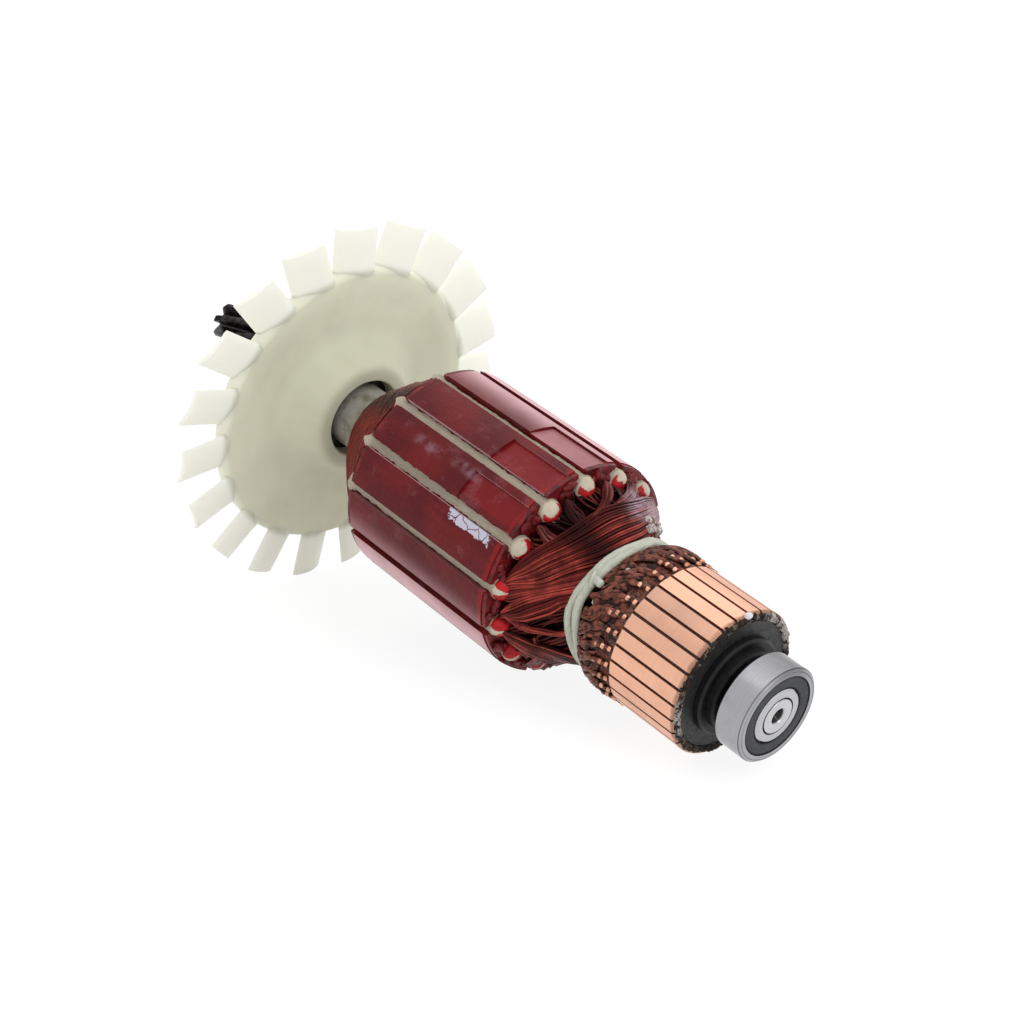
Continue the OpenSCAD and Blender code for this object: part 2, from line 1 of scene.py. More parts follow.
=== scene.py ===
"""Looks of the motor armature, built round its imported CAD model.

Every length in a piece is in millimetres along the shaft: 0 is the bearing end of the shaft,
the pinion is at the far end, and angle 0 is the side that lies underneath.
"""

import json
import math

import bmesh
import bpy
import numpy as np
from mathutils import Matrix, Vector


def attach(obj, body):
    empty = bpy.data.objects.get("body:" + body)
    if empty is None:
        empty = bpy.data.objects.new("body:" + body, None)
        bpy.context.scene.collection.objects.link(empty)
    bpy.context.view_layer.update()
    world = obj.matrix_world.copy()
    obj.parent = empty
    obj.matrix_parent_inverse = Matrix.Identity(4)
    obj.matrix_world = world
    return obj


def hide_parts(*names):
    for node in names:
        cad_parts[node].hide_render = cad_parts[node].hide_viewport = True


bl_info = {
    "name": "Motor armature",
    "version": (1, 0, 0),
    "blender": (4, 5, 0),
    "location": "View3D > Sidebar > Armature",
    "description": "Dresses the CAD model of a universal motor's armature",
    "category": "Object",
}

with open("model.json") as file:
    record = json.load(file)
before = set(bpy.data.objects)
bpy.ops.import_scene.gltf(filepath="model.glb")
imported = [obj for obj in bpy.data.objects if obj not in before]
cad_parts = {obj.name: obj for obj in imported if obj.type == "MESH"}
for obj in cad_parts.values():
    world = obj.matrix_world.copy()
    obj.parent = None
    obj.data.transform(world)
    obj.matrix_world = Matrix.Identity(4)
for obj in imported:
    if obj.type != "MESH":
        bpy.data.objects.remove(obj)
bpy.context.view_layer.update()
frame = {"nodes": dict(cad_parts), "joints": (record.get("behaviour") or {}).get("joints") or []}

# The shaft's own axes in the row frame, read from the bearing's joint.
MM = 0.001
SPIN = frame["joints"][0]
NEAR = Vector(SPIN["axis"])
ALONG = -NEAR
DOWN = Vector((NEAR.z, 0, -NEAR.x))
SIDE = ALONG.cross(DOWN)
BEARING_MID = 3.7
ORIGIN = Vector(SPIN["pos_m"]) - ALONG * BEARING_MID * MM
AXES = np.array([DOWN, SIDE, ALONG])

SLOTS = 14
SLOT_PITCH = 360 / SLOTS
SLOT_TURN = 15.5
BARS = 28
BAR_PITCH = 360 / BARS
BAR_TURN = 10.2
CORE_FRONT, CORE_BACK = 61.9, 106.9
PLATE = 1.2
TUBE_R = 7.9
# The slots end in front in round domes about this place and radius.
DOME_PLACE, DOME_RADIUS, DOME_SIZE = 60.3, 21.5, 2.72
# The fan: its turn on the shaft, and the place of its disc's front face.
FAN_TURN, FAN_FACE = 3.17, 141.3
# The camera of the photo: place, turn in degrees, lens and sensor in millimetres, and how near
# and how far it sees. The lamps shine at the part's middle.
CAMERA_PLACE = (0.336302, -0.307376, 0.186579)
CAMERA_TURN = (71.13390, -2.43281, 47.26244)
CAMERA_LENS, CAMERA_SENSOR = 74.8494, 36
CAMERA_REACH = (0.01, 20)
PART_MIDDLE = (0, 0, 0.03)
# The floor: its radius and how far it lies below the part, in metres, the strength of its glow
# and the share of the part's shadow in what the camera sees.
FLOOR_RADIUS, FLOOR_DROP, FLOOR_GLOW, FLOOR_SHADOW = 4.0, 0.0002, 1.07, 0.18
WHITE = (1, 1, 1)
# The insulating tube's two tones.
TUBE_PALE, TUBE_STAIN = (0.288, 0.2736, 0.2376), (0.16, 0.136, 0.088)

# The skin of the front head: places along the shaft and the radius there.
SKIN = (
    [36, 42, 44.2, 45.2, 47, 48.5, 50, 51.5, 53, 54.5, 56, 57.5, 59, 60.4],
    [14.8, 13.2, 13.2, 13.9, 15.1, 15.9, 16.6, 17.2, 18.15, 19.4, 20.7, 21.9, 22.3, 20.6],
)
# Bundles of the front head, from the slot they leave to the middle of their sweep: the edge
# towards the core, the edge towards the lacing, the number of wires, and their lift above the
# skin at the start and at the end. Each point is an angle and a place.
BUNDLES = {
    "a": (
        [(95.5, 60.4), (101.7, 59.2), (119.6, 56.9), (136.2, 55.0), (153, 54.3), (169.8, 54.3)],
        [(94, 60.4), (99.7, 57.6), (106.4, 53.6), (119.2, 50.6), (133.4, 47.8), (145.5, 45.9),
         (158, 45.1), (169.8, 44.9)],
        18, 0.3, 0.3,
    ),
    "b": (
        [(72, 60.4), (80, 58.9), (93.3, 55.3), (102.9, 51.6), (112, 48.4), (121, 46.2),
         (132, 45.0), (144.1, 44.7)],
        [(70, 60.4), (77, 58.2), (76.9, 54.5), (87.5, 50.2), (98.4, 47.9), (106.6, 45.3),
         (125, 44.2), (144.1, 44.0)],
        9, 0.1, -0.9,
    ),
    "c": (
        [(63, 60.4), (63.1, 58.4), (47.8, 55.8), (26.2, 54.7), (8, 54.3), (-10.2, 54.3)],
        [(65, 60.4), (68, 58.7), (61.9, 55.5), (54.5, 53.2), (48.9, 49.6), (44, 46.8),
         (30, 45.3), (-10.2, 44.9)],
        18, 0.3, 0.3,
    ),
    "d": (
        [(154.6, 59.2), (156.2, 58.0), (155.8, 56.5), (156.7, 55.0), (153.8, 52.0)],
        [(154.2, 59.2), (150.9, 57.6), (148.8, 56.0), (148.7, 54.7), (145.7, 51.9)],
        6, 0.2, -0.3,
    ),
    "e": (
        [(182.2, 59.0), (183.4, 57.6), (181.9, 55.9), (175.2, 54.7), (153.9, 53.1)],
        [(181.6, 59.0), (177.6, 57.2), (173.6, 55.6), (166.6, 54.6), (149.1, 53.4)],
        6, 0.4, -0.3,
    ),
    "f": (
        [(200.6, 59.0), (204.2, 57.4), (200.4, 55.4), (186.4, 54.2)],
        [(200.2, 59.0), (197.2, 57.2), (192.2, 55.6), (180.0, 54.4)],
        5, 0.5, 0.1,
    ),
    "g": (
        [(79, 59.0), (78.6, 57.4), (74, 55.2), (71, 52.4), (72.9, 48.4), (78.0, 45.2)],
        [(78.6, 59.0), (75.4, 57.2), (70, 55.3), (66.5, 52.6), (69.5, 48.5), (75.2, 45.1)],
        4, -0.2, -0.1,
    ),
    "h": (
        [(92, 60.4), (99, 57.5), (105.5, 53.4), (118, 50.3), (132, 47.6), (144, 45.9), (157, 45.0)],
        [(89, 60.4), (88, 57.8), (94.5, 55.0), (104, 51.4), (113, 48.2), (122, 46.1),
         (140, 44.8), (157, 44.6)],
        9, -0.15, -1.0,
    ),
}
# The large bundles run on to another slot, as a mirror image from this angle on.
MIDDLES = {"a": 169.8, "b": 144.1, "c": -10.2, "h": 157}
# The head's near side and its mirror image about this angle carry the same bundles.
MIRROR = 79.8
# How each bundle is repeated: a turn about the shaft, and whether it is mirrored first.
REPEATS = {
    "b": [(180, False)], "h": [(180, False)], "g": [(180, False)],
    "d": [(-21, False), (0, True), (-22, True)],
    "e": [(50, False), (0, True), (50, True)],
    "f": [(26, False), (0, True), (26, True)],
}

# The lacing: angle and place of the middle between its two turns.
LACING_LINE = [
    (199, 45.2), (177, 44.4), (137, 45.1), (107, 45.6), (77, 43.9), (52, 43.2),
    (20, 43.4), (-20, 43.6), (-70, 44.0), (-120, 44.8),
]


# Outline of a seal: radius, depth below its face and the rounding of the corner.
SEAL = [
    (6.42, 0.2, 0.1), (6.7, 0.12, 0.1), (6.85, 0.02, 0.1), (8.85, 0, 0.1), (8.98, 0.16, 0.05),
    (9.12, 0.16, 0.05), (9.24, 0.02, 0.05), (9.24, 0.55), (6.42, 0.55),
]
# The varnish on the leads: places and radii.
VARNISH = (
    [31.55, 31.7, 32.6, 33.6, 34.6, 35.6, 36.6, 37.6, 38.6, 39.4, 40.2, 41, 41.8, 42.6, 43.6],
    [15.6, 15.9, 16.0, 16.1, 16.3, 16.5, 16.6, 16.55, 16.4, 16.3, 16.0, 15.5, 14.9, 14.1, 13.4],
)


# Shapes


def to_row(points):
    """Millimetres along the shaft become metres in the row frame."""
    return np.asarray(ORIGIN) + (np.asarray(points, float) @ AXES) * MM


def around(angle, radius, along):
    """Points at angles in degrees round the shaft."""
    a = np.radians(angle)
    return np.stack(np.broadcast_arrays(radius * np.cos(a), radius * np.sin(a), along), axis=-1)


def turned(x, y, z, angle):
    """A ring drawn at angle 0, turned about the shaft."""
    a = math.radians(angle)
    z = np.broadcast_to(z, np.shape(y))
    return np.stack([x * math.cos(a) - y * math.sin(a), x * math.sin(a) + y * math.cos(a), z], axis=1)


def chances(draw, *ranges):
    """One draw from each range."""
    return [draw.uniform(low, high) for low, high in ranges]


def run_length(line):
    """Length from the start of a line to each of its points."""
    return np.concatenate([[0], np.cumsum(np.linalg.norm(np.diff(line, axis=0), axis=1))])


def smooth_run(points, count):
    """A smooth line through the points, in even steps."""
    p = np.asarray(points, float)
    p = np.vstack([2 * p[0] - p[1], p, 2 * p[-1] - p[-2]])
    t = np.linspace(0, len(p) - 3, 8 * count)
    i = np.minimum(t.astype(int), len(p) - 4)
    f = (t - i)[:, None]
    a, b, c, d = p[i], p[i + 1], p[i + 2], p[i + 3]
    bend, twist = 2 * a - 5 * b + 4 * c - d, 3 * b - a - 3 * c + d
    line = 0.5 * (2 * b + (c - a) * f + bend * f**2 + twist * f**3)
    run = run_length(line)
    even = np.linspace(0, run[-1], count)
    return np.stack([np.interp(even, run, line[:, k]) for k in range(p.shape[1])], axis=1)


def soften(outline, radius=0.3, steps=3):
    """Rounds the corners of a closed outline. A corner may carry a radius of its own."""
    corners = [tuple(c) if len(c) == 3 else (c[0], c[1], radius) for c in outline]
    done = []
    for i, (x, y, r) in enumerate(corners):
        here = np.array([x, y])
        before = np.array(corners[i - 1][:2]) - here
        after = np.array(corners[(i + 1) % len(corners)][:2]) - here
        before_l, after_l = np.linalg.norm(before), np.linalg.norm(after)
        d = min(r, 0.45 * before_l, 0.45 * after_l)
        if d < 0.01 or x < 0.01:
            done.append(here)
            continue
        start, end = here + before / before_l * d, here + after / after_l * d
        for t in np.linspace(0, 1, steps + 1):
            done.append((1 - t) ** 2 * start + 2 * t * (1 - t) * here + t**2 * end)
    return np.array(done)


class Form:
    """Points and faces of one piece, in millimetres along the shaft."""

    def __init__(self):
        self.points, self.faces, self.crests, self.count = [], [], [], 0

    def loft(self, rings, loop=False, crest=None):
        """Skins a row of rings. crest is 1 along the outer side of a wire and -1 under it."""
        rings = np.asarray(rings, float)
        rows, cols = rings.shape[:2]
        index = self.count + np.arange(rows * cols).reshape(rows, cols)
        nearer = index if loop else index[:-1]
        farther = np.roll(index, -1, axis=0) if loop else index[1:]
        corners = [nearer, np.roll(nearer, -1, axis=1), np.roll(farther, -1, axis=1), farther]
        self.faces += np.stack(corners, axis=-1).reshape(-1, 4).tolist()
        if not loop:
            self.faces += [index[0][::-1].tolist(), index[-1].tolist()]
        self.points.append(rings.reshape(-1, 3))
        self.crests.append(np.broadcast_to(0.0 if crest is None else crest, (rows, cols)).ravel())
        self.count += rows * cols

    def lathe(self, outline, sides=96, wobble=None):
        """Turns a closed outline of radii and places about the shaft."""
        outline = np.asarray(outline, float)
        angle = np.linspace(0, 360, sides, endpoint=False)
        r = np.repeat(np.maximum(outline[:, 0], 0.002)[:, None], sides, axis=1)
        z = np.repeat(outline[:, 1][:, None], sides, axis=1)
        if wobble is not None:
            r, z = wobble(angle[None, :], r, z)
        self.loft(around(np.broadcast_to(angle, r.shape), r, z), loop=True)

    def tube(self, path, radius, sides=6):
        """A round bar along a path."""
        path = np.asarray(path, float)
        along = np.gradient(path, axis=0)
        along /= np.linalg.norm(along, axis=1)[:, None]
        up = path * (1, 1, 0)
        up = up - (up * along).sum(axis=1)[:, None] * along
        up /= np.linalg.norm(up, axis=1)[:, None]
        side = np.cross(along, up)
        turn = np.linspace(0, 2 * math.pi, sides, endpoint=False)
        r = np.broadcast_to(np.asarray(radius, float).reshape(-1, 1), (len(path), sides))
        spokes = np.cos(turn)[:, None] * up[:, None] + np.sin(turn)[:, None] * side[:, None]
        self.loft(path[:, None] + spokes * r[..., None], crest=np.cos(turn))

    def lump(self, middle, size, draw, rows=7, cols=10, rough=0.22):
        """A rough drop. size is its half widths outward, around and along the shaft."""
        middle = np.asarray(middle, float)
        outward = middle * (1, 1, 0) / np.linalg.norm(middle[:2])
        round_it = np.cross((0, 0, 1), outward)
        theta = np.linspace(0.12, math.pi - 0.12, rows)[:, None]
        phi = np.linspace(0, 2 * math.pi, cols, endpoint=False)[None, :]
        r = 1 + rough * draw.uniform(-1, 1, (rows, cols))
        a = (np.sin(theta) * np.cos(phi) * r * size[1])[..., None] * round_it
        b = (np.sin(theta) * np.sin(phi) * r * size[2])[..., None] * np.array((0, 0, 1))
        c = (np.cos(theta) * r * size[0])[..., None] * outward
        self.loft(middle + a + b + c, crest=np.cos(theta))


def make(name, form, finish, replaces=(), sharp=180, body="armature", weld=False):
    """Turns a form into a piece that moves with a body. Edges above sharp degrees stay crisp."""
    mesh = bpy.data.meshes.new(name)
    mesh.from_pydata(to_row(np.concatenate(form.points)).tolist(), [], form.faces)
    mesh.attributes.new("crest", "FLOAT", "POINT").data.foreach_set("value", np.concatenate(form.crests))
    bm = bmesh.new()
    bm.from_mesh(mesh)
    if weld:
        bmesh.ops.remove_doubles(bm, verts=bm.verts, dist=0.005 * MM)
        bmesh.ops.dissolve_degenerate(bm, edges=bm.edges, dist=0.002 * MM)
    bmesh.ops.recalc_face_normals(bm, faces=bm.faces)
    bm.to_mesh(mesh)
    bm.free()
    mesh.shade_smooth()
    mesh.set_sharp_from_angle(angle=math.radians(sharp))
    mesh.materials.append(finish)
    piece = bpy.data.objects.new(name, mesh)
    bpy.context.scene.collection.objects.link(piece)
    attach(piece, body)
    if replaces:
        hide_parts(*replaces)
    return piece


def dress(finish, *nodes):
    """Gives CAD nodes a finish."""
    for name in nodes:
        mesh = frame["nodes"][name].data
        mesh.materials.clear()
        mesh.materials.append(finish)


# Finishes


def feed(socket, value):
    """Links a socket to what varies, or sets it to what doesn't. None leaves it as it is."""
    value = getattr(value, "socket", value)
    if isinstance(value, bpy.types.NodeSocket):
        socket.id_data.links.new(value, socket)
    elif value is not None:
        socket.default_value = (*value, 1) if socket.type == "RGBA" else value


def add_node(tree, kind, *inputs, **settings):
    """Adds a node with its settings, and feeds its inputs in order."""
    node = tree.nodes.new("ShaderNode" + kind)
    for key, value in settings.items():
        setattr(node, key, value)
    for socket, value in zip(node.inputs, inputs):
        feed(socket, value)
    return node


class Value:
    """A number that varies over a surface: the output of a node, for use in sums."""

    def __init__(self, finish, socket):
        self.finish, self.socket = finish, socket

    def __add__(self, other):
        return self.finish.sum("ADD", self, other)

    def __sub__(self, other):
        return self.finish.sum("SUBTRACT", self, other)

    def __rsub__(self, other):
        return self.finish.sum("SUBTRACT", other, self)

    def __mul__(self, other):
        return self.finish.sum("MULTIPLY", self, other)

    def __truediv__(self, other):
        return self.finish.sum("DIVIDE", self, other)


class Finish:
    """A material made of nodes, which knows its place along and round the shaft."""

    def __init__(self, name, rough=0.5, metal=0.0, **fixed):
        self.material = bpy.data.materials.new(name)
        self.material.use_nodes = True
        self.tree = self.material.node_tree
        self.shader = self.tree.nodes["Principled BSDF"]
        for key, value in {"roughness": rough, "metallic": metal, **fixed}.items():
            words = "Specular IOR Level" if key == "specular" else key.replace("_", " ").title()
            self.shader.inputs[words].default_value = value
        place = self.add("TexCoord").outputs["Object"]
        turn = Matrix((DOWN, SIDE, ALONG)).transposed().to_euler()
        mapping = self.add("Mapping", place, ORIGIN, turn, (MM, MM, MM), vector_type="TEXTURE")
        self.spot = mapping.outputs[0]
        x, y, self.along = (Value(self, way) for way in self.add("SeparateXYZ", self.spot).outputs)
        self.radius = self.sum("SQRT", x * x + y * y)
        self.angle = self.sum("MODULO", self.sum("DEGREES", self.sum("ARCTAN2", y, x)) + 360, 360)

    def add(self, kind, *inputs, **settings):
        return add_node(self.tree, kind, *inputs, **settings)

    def sum(self, operation, a, b=None):
        return Value(self, self.add("Math", a, b, operation=operation).outputs[0])

    def stretched(self, around_by, outward_by, along_by):
        """The place on the part, unrolled round the shaft, each way drawn out or in."""
        ways = (self.angle * around_by, self.radius * outward_by, self.along * along_by)
        return self.add("CombineXYZ", *ways).outputs[0]

    def noise(self, per_mm, detail=3.0, rough=0.55, spot=None):
        """Chance that varies from place to place, between 0 and 1."""
        node = self.add("TexNoise", spot or self.spot, None, per_mm, detail, rough)
        return Value(self, node.outputs["Fac"])

    def band(self, value, low, high, to_low=0.0, to_high=1.0):
        """Runs smoothly from to_low to to_high as the value goes from low to high."""
        node = self.add("MapRange", value, low, high, to_low, to_high, interpolation_type="SMOOTHSTEP")
        return Value(self, node.outputs["Result"])

    def patches(self, per_mm, detail, low, high, to_low=0.0, to_high=1.0, rough=0.55):
        """Noise drawn out to soft patches."""
        return self.band(self.noise(per_mm, detail, rough), low, high, to_low, to_high)

    def window(self, value, low, high, edge):
        """1 between low and high, and 0 outside."""
        return self.band(value, low - edge, low + edge) * self.band(value, high - edge, high + edge, 1.0, 0.0)

    def crazing(self, per_mm, bend):
        """How far the nearest crack is, in a net of bent cracks."""
        noise = self.add("TexNoise", self.spot, None, 0.5).outputs["Color"]
        bent = self.add("VectorMath", noise, (bend, bend, bend), self.spot, operation="MULTIPLY_ADD")
        cells = self.add("TexVoronoi", bent.outputs[0], None, per_mm, feature="DISTANCE_TO_EDGE")
        return Value(self, cells.outputs["Distance"])

    def mix(self, share, a, b, blend="MIX"):
        node = self.add("Mix", share, data_type="RGBA", blend_type=blend)
        feed(node.inputs[6], a)
        feed(node.inputs[7], b)
        return node.outputs[2]

    def coats(self, color, *layers):
        """Lays colours over a colour, each with its share."""
        for share, over in layers:
            color = self.mix(share, color, over)
        return color

    def off_slot(self):
        """Degrees from the middle of the nearest slot."""
        slots = (self.angle - (SLOT_TURN - 2 * SLOT_PITCH)) / SLOT_PITCH
        return self.sum("ABSOLUTE", self.sum("FRACT", slots + 0.5) - 0.5) * SLOT_PITCH

    def crest(self):
        """1 along the outer side of a wire, -1 along its inner side."""
        return Value(self, self.add("Attribute", attribute_name="crest").outputs["Fac"])

    def facing(self, low, high, most):
        """Grows to most where the surface turns away from the eye."""
        return self.band(self.add("LayerWeight", 0.5).outputs["Facing"], low, high, 0.0, most)

    def island(self):
        """A chance number for each wire or lump of a piece."""
        return self.add("NewGeometry").outputs["Random Per Island"]

    def done(self, color, rough=None, height=None, depth=0.1):
        """Links what varies and returns the material. depth is the relief in millimetres."""
        feed(self.shader.inputs["Base Color"], color)
        feed(self.shader.inputs["Roughness"], rough)
        if height is not None:
            bump = self.add("Bump")
            feed(bump.inputs["Height"], height)
            feed(bump.inputs["Distance"], depth * MM)
            feed(self.shader.inputs["Normal"], bump.outputs["Normal"])
        return self.material


def shade(color, by):
    """The same colour, darker or lighter."""
    return tuple(min(1.0, c * by) for c in color)


def red_lacquer(deep, bright):
    """Thick red lacquer on the teeth: cloudy, scratched, chipped in one place."""
    f = Finish("red_lacquer", coat_weight=0.06, coat_roughness=0.3, specular=0.12)
    streak = f.noise(1.0, 4, 0.6, f.stretched(0.35, 0, 0.06))
    # The flats milled for balance were lacquered again, a little brighter.
    flats = f.window(f.angle, 124, 188, 0.5) * f.window(f.along, 60, 78.9, 0.15)
    sunk = f.band(f.radius, 25.15, 25.4, 1.0, 0.0)
    front = f.band(f.along + f.noise(0.8, 2) * 2.4, 63.9, 64.6, 1.0, 0.0)
    # Rubbed, hazy places and fine pale scratches.
    haze = f.patches(0.16, 5, 0.55, 0.7, rough=0.62) * f.patches(2.2, 3, 0.35, 0.65, 0.25, 1.0)
    scratch = f.band(f.noise(1.0, 2, 0.5, f.stretched(0.9, 0, 0.12)), 0.68, 0.76)
    color = f.coats(
        deep,
        (f.patches(0.09, 3, 0.35, 0.68), bright),
        (f.band(streak, 0.45, 0.8, 0.0, 0.5), shade(deep, 0.5)),
        (f.patches(2.6, 3, 0.3, 0.7, 0.0, 0.35), shade(deep, 0.6)),
        (flats * (sunk * 0.6), (bright[0] * 1.35, bright[1] * 0.9, bright[2])),
        (front * 0.6, (bright[0] * 1.7, bright[1], bright[2])),
        (haze * 0.3, (0.3, 0.13, 0.15)),
        (scratch * 0.16, (0.4, 0.17, 0.18)),
    )
    # Two places scuffed grey.
    for angle, along in ((134.8, 81), (133.5, 93)):
        spot = f.window(f.angle, angle - 2.6, angle + 2.6, 1.5) * f.window(f.along, along - 4, along + 4, 2.0)
        scuff = spot * f.band(f.noise(0.5, 5, 0.65, f.stretched(0.25, 0, 0.8)), 0.4, 0.62)
        color = f.mix(scuff * 0.45, color, (0.3, 0.17, 0.2))
    # A pink sheen painted into the colour where the lacquer is seen at a slant.
    sheen = f.facing(0.45, 0.82, 1.0) * f.patches(0.12, 4, 0.3, 0.7, 0.8, 1.0)
    # One place where the lacquer has come off, with a cracked pale ground.
    ragged = (f.noise(0.5, 5, 0.65) - 0.5) * 6.0
    chip = f.window(f.angle + ragged, 110.8, 116.2, 0.15) * f.window(f.along + ragged * 0.8, 65.8, 78.0, 0.12)
    ground = chip * f.band(f.crazing(0.2, 1.6), 0.008, 0.03)
    color = f.coats(color, (sheen, (0.76, 0.45, 0.48)), (ground, (0.52, 0.5, 0.6)))
    return f.done(color, f.band(haze, 0.0, 0.8, 0.4, 0.6), f.noise(0.7, 5) + chip * -1.2, 0.12)


def fibre_red(color):
    """Red lacquered fibre and thick drops of lacquer."""
    f = Finish("lacquered_fibre", coat_weight=0.15, coat_roughness=0.15, specular=0.15)
    tone = f.coats(
        shade(color, 0.3),
        (f.patches(0.5, 4, 0.3, 0.7), color),
        (f.patches(1.6, 3, 0.64, 0.76, 0.0, 0.35), (0.28, 0.14, 0.1)),
        # A pale sheen painted into the colour where the surface is seen at a slant.
        (f.facing(0.6, 0.95, 0.4), (0.4, 0.18, 0.18)),
    )
    return f.done(tone, f.patches(1.2, 3, 0.3, 0.7, 0.25, 0.5), f.noise(1.1, 4), 0.3)


def enamel_wire(name, dark, bright):
    """Copper wire under red-brown enamel, with painted shade on its flanks and a painted highlight line along
    its outer side.
    """
    f = Finish(name, metal=0.25, specular=0.08, coat_weight=0.04, coat_roughness=0.12)
    tone = f.mix(f.band(f.island(), 0.1, 0.95), shade(dark, 1.8), bright)
    tone = f.mix(f.patches(0.24, 3, 0.4, 0.66, 0.0, 0.6), tone, shade(dark, 1.4))
    # Painted shade: the wires between 136 and 160 degrees round are darkened.
    tone = f.mix(f.window(f.angle, 136, 160, 10), tone, shade(bright, 0.4), "MULTIPLY")
    # Painted highlight along each wire's outer side and painted shade on its flanks, broken up by noise.
    crest_highlight_and_shade = f.crest() + (f.noise(0.35, 3) - 0.5) * 1.3
    tone = f.mix(f.band(crest_highlight_and_shade, 0.2, 1.05), shade(dark, 0.55), tone)
    # A pale veil over the outer sides of the wires where they pass over the top: partly a bloom of varnish,
    # partly a painted sheen. A painted sheen is also laid where the wires are seen at a slant.
    bloom_and_sheen = f.window(f.angle, 193, 232, 9) * f.window(f.along, 50.5, 56.5, 1.3)
    veil_and_sheen = bloom_and_sheen * f.patches(0.5, 4, 0.3, 0.7, 0.25, 0.8) * f.band(f.crest(), -0.2, 0.8)
    tone = f.coats(tone, (veil_and_sheen, (0.5, 0.36, 0.42)), (f.facing(0.6, 0.95, 0.2), (0.2, 0.08, 0.08)))
    return f.done(tone, f.patches(0.9, 3, 0.3, 0.7, 0.26, 0.45), f.noise(2.5, 3), 0.03)


def coil_shade():
    """Painted shade: a near-black colour for the inside of a coil, seen between its wires."""
    f = Finish("coil_shade", rough=0.8, specular=0.02)
    return f.done(f.mix(f.patches(0.8, 3, 0.4, 0.7), (0.004, 0.001, 0.001), (0.02, 0.003, 0.002)))


def brown_varnish(name, dark, brown, pale, share):
    """Thick brown varnish with paler places up to the share given, which stand partly for painted highlights,
    and painted shade on the under side of each strand and lump.
    """
    f = Finish(name, coat_weight=0.28, coat_roughness=0.06, specular=0.03)
    tone = f.coats(
        dark,
        (f.patches(0.7, 4, 0.36, 0.64), brown),
        (f.patches(0.4, 3, 0.56, 0.7, 0.0, share), pale),
        # Painted shade along the under side of each strand and lump.
        (f.band(f.crest(), -0.2, 0.8, 0.95, 0.0), shade(dark, 0.5)),
    )
    return f.done(tone, f.patches(1.5, 3, 0.3, 0.7, 0.18, 0.4), f.noise(1.2, 3, 0.5), 0.12)


def turned_copper(name, tone, stain=0.0):
    """Copper turned on the lathe: fine rings, and stains that follow the bar."""
    f = Finish(name, metal=1.0, rough=0.36)
    rings = f.noise(1.0, 2, 0.5, f.stretched(0.004, 0, 7.0))
    cloud = f.noise(0.3, 4, 0.6, f.stretched(0.12, 0, 0.35))
    edge = f.band(f.along + f.noise(0.9, 3) * 1.2, 13.7, 14.6, 1.0, 0.0)
    color = f.coats(
        shade(tone, 0.93),
        (f.band(rings, 0.35, 0.65), tone),
        (f.band(cloud, 0.5, 0.8, 0.0, 0.5), shade(tone, 0.72)),
        (edge * 0.6, (0.12, 0.045, 0.025)),
    )
    if stain:
        drawn_out = f.noise(0.16, 3, 0.5, f.stretched(0.05, 0, 0.7))
        color = f.mix(f.band(drawn_out, 0.35, 0.7, stain * 0.4, stain), color, (0.45, 0.27, 0.2))
    # Behind the track the riser is under brown varnish.
    riser = f.band(f.along + f.noise(0.9, 3) * 0.7, 31.65, 31.95)
    brown = f.mix(f.patches(0.7, 4, 0.35, 0.65), (0.035, 0.012, 0.009), (0.16, 0.055, 0.035))
    feed(f.shader.inputs["Metallic"], 1.0 - riser)
    return f.done(f.mix(riser, color, brown), f.band(cloud, 0.3, 0.75, 0.32, 0.46), rings, 0.012)


def turned_ends(tone):
    """Bare cut ends of the leads."""
    f = Finish("cut_copper", metal=1.0, rough=0.34)
    color = f.mix(f.patches(0.9, 3, 0.4, 0.7), shade(tone, 0.95), (0.45, 0.18, 0.1))
    color = f.mix(f.band(f.island(), 0.3, 1.0, 0.0, 0.5), color, (0.34, 0.13, 0.075))
    return f.done(color, None, f.noise(2.0, 3), 0.06)


def moulded_resin():
    """The commutator's moulding: black and satin in front, red-brown between the bars."""
    f = Finish("moulded_resin", rough=0.45, specular=0.3)
    between = f.band(f.radius, 14.5, 15.2) * f.band(f.along, 13.3, 13.7)
    black = f.mix(f.patches(0.7, 4, 0.3, 0.7), (0.012, 0.012, 0.013), (0.03, 0.029, 0.028))
    brown = f.mix(f.patches(1.3, 3, 0.3, 0.7), (0.03, 0.006, 0.003), (0.075, 0.012, 0.006))
    color = f.mix(between, black, brown)
    return f.done(color, f.patches(1.1, 4, 0.3, 0.7, 0.32, 0.55), f.noise(2.4, 4), 0.08)


def black_moulding():
    """Satin black plastic with faint turning marks."""
    f = Finish("black_moulding", rough=0.42, specular=0.2)
    marks = f.noise(1.0, 2, 0.5, f.stretched(0.006, 5.0, 5.0))
    color = f.mix(f.patches(0.6, 4, 0.35, 0.7), (0.006, 0.006, 0.007), (0.012, 0.012, 0.013))
    return f.done(color, f.band(marks, 0.3, 0.7, 0.3, 0.46), marks, 0.03)


def crusted_resin():
    """The rough ring on the front of the bars: dark, with tan flecks and pale places."""
    f = Finish("crusted_resin", rough=0.6, specular=0.25)
    flecks = f.patches(0.85, 4, 0.53, 0.6, rough=0.65) * f.patches(0.4, 2, 0.35, 0.6, 0.3, 1.0)
    pale = f.sum("MAXIMUM", f.window(f.angle, 198, 250, 6), f.window(f.angle, 58, 90, 6))
    color = f.coats(
        (0.006, 0.004, 0.004),
        (f.patches(0.9, 5, 0.4, 0.62, rough=0.65), (0.04, 0.024, 0.018)),
        (flecks, (0.2, 0.16, 0.11)),
        (pale * f.patches(0.6, 4, 0.44, 0.54, rough=0.6), (0.5, 0.45, 0.42)),
    )
    return f.done(color, None, f.noise(1.6, 6, 0.65), 0.5)


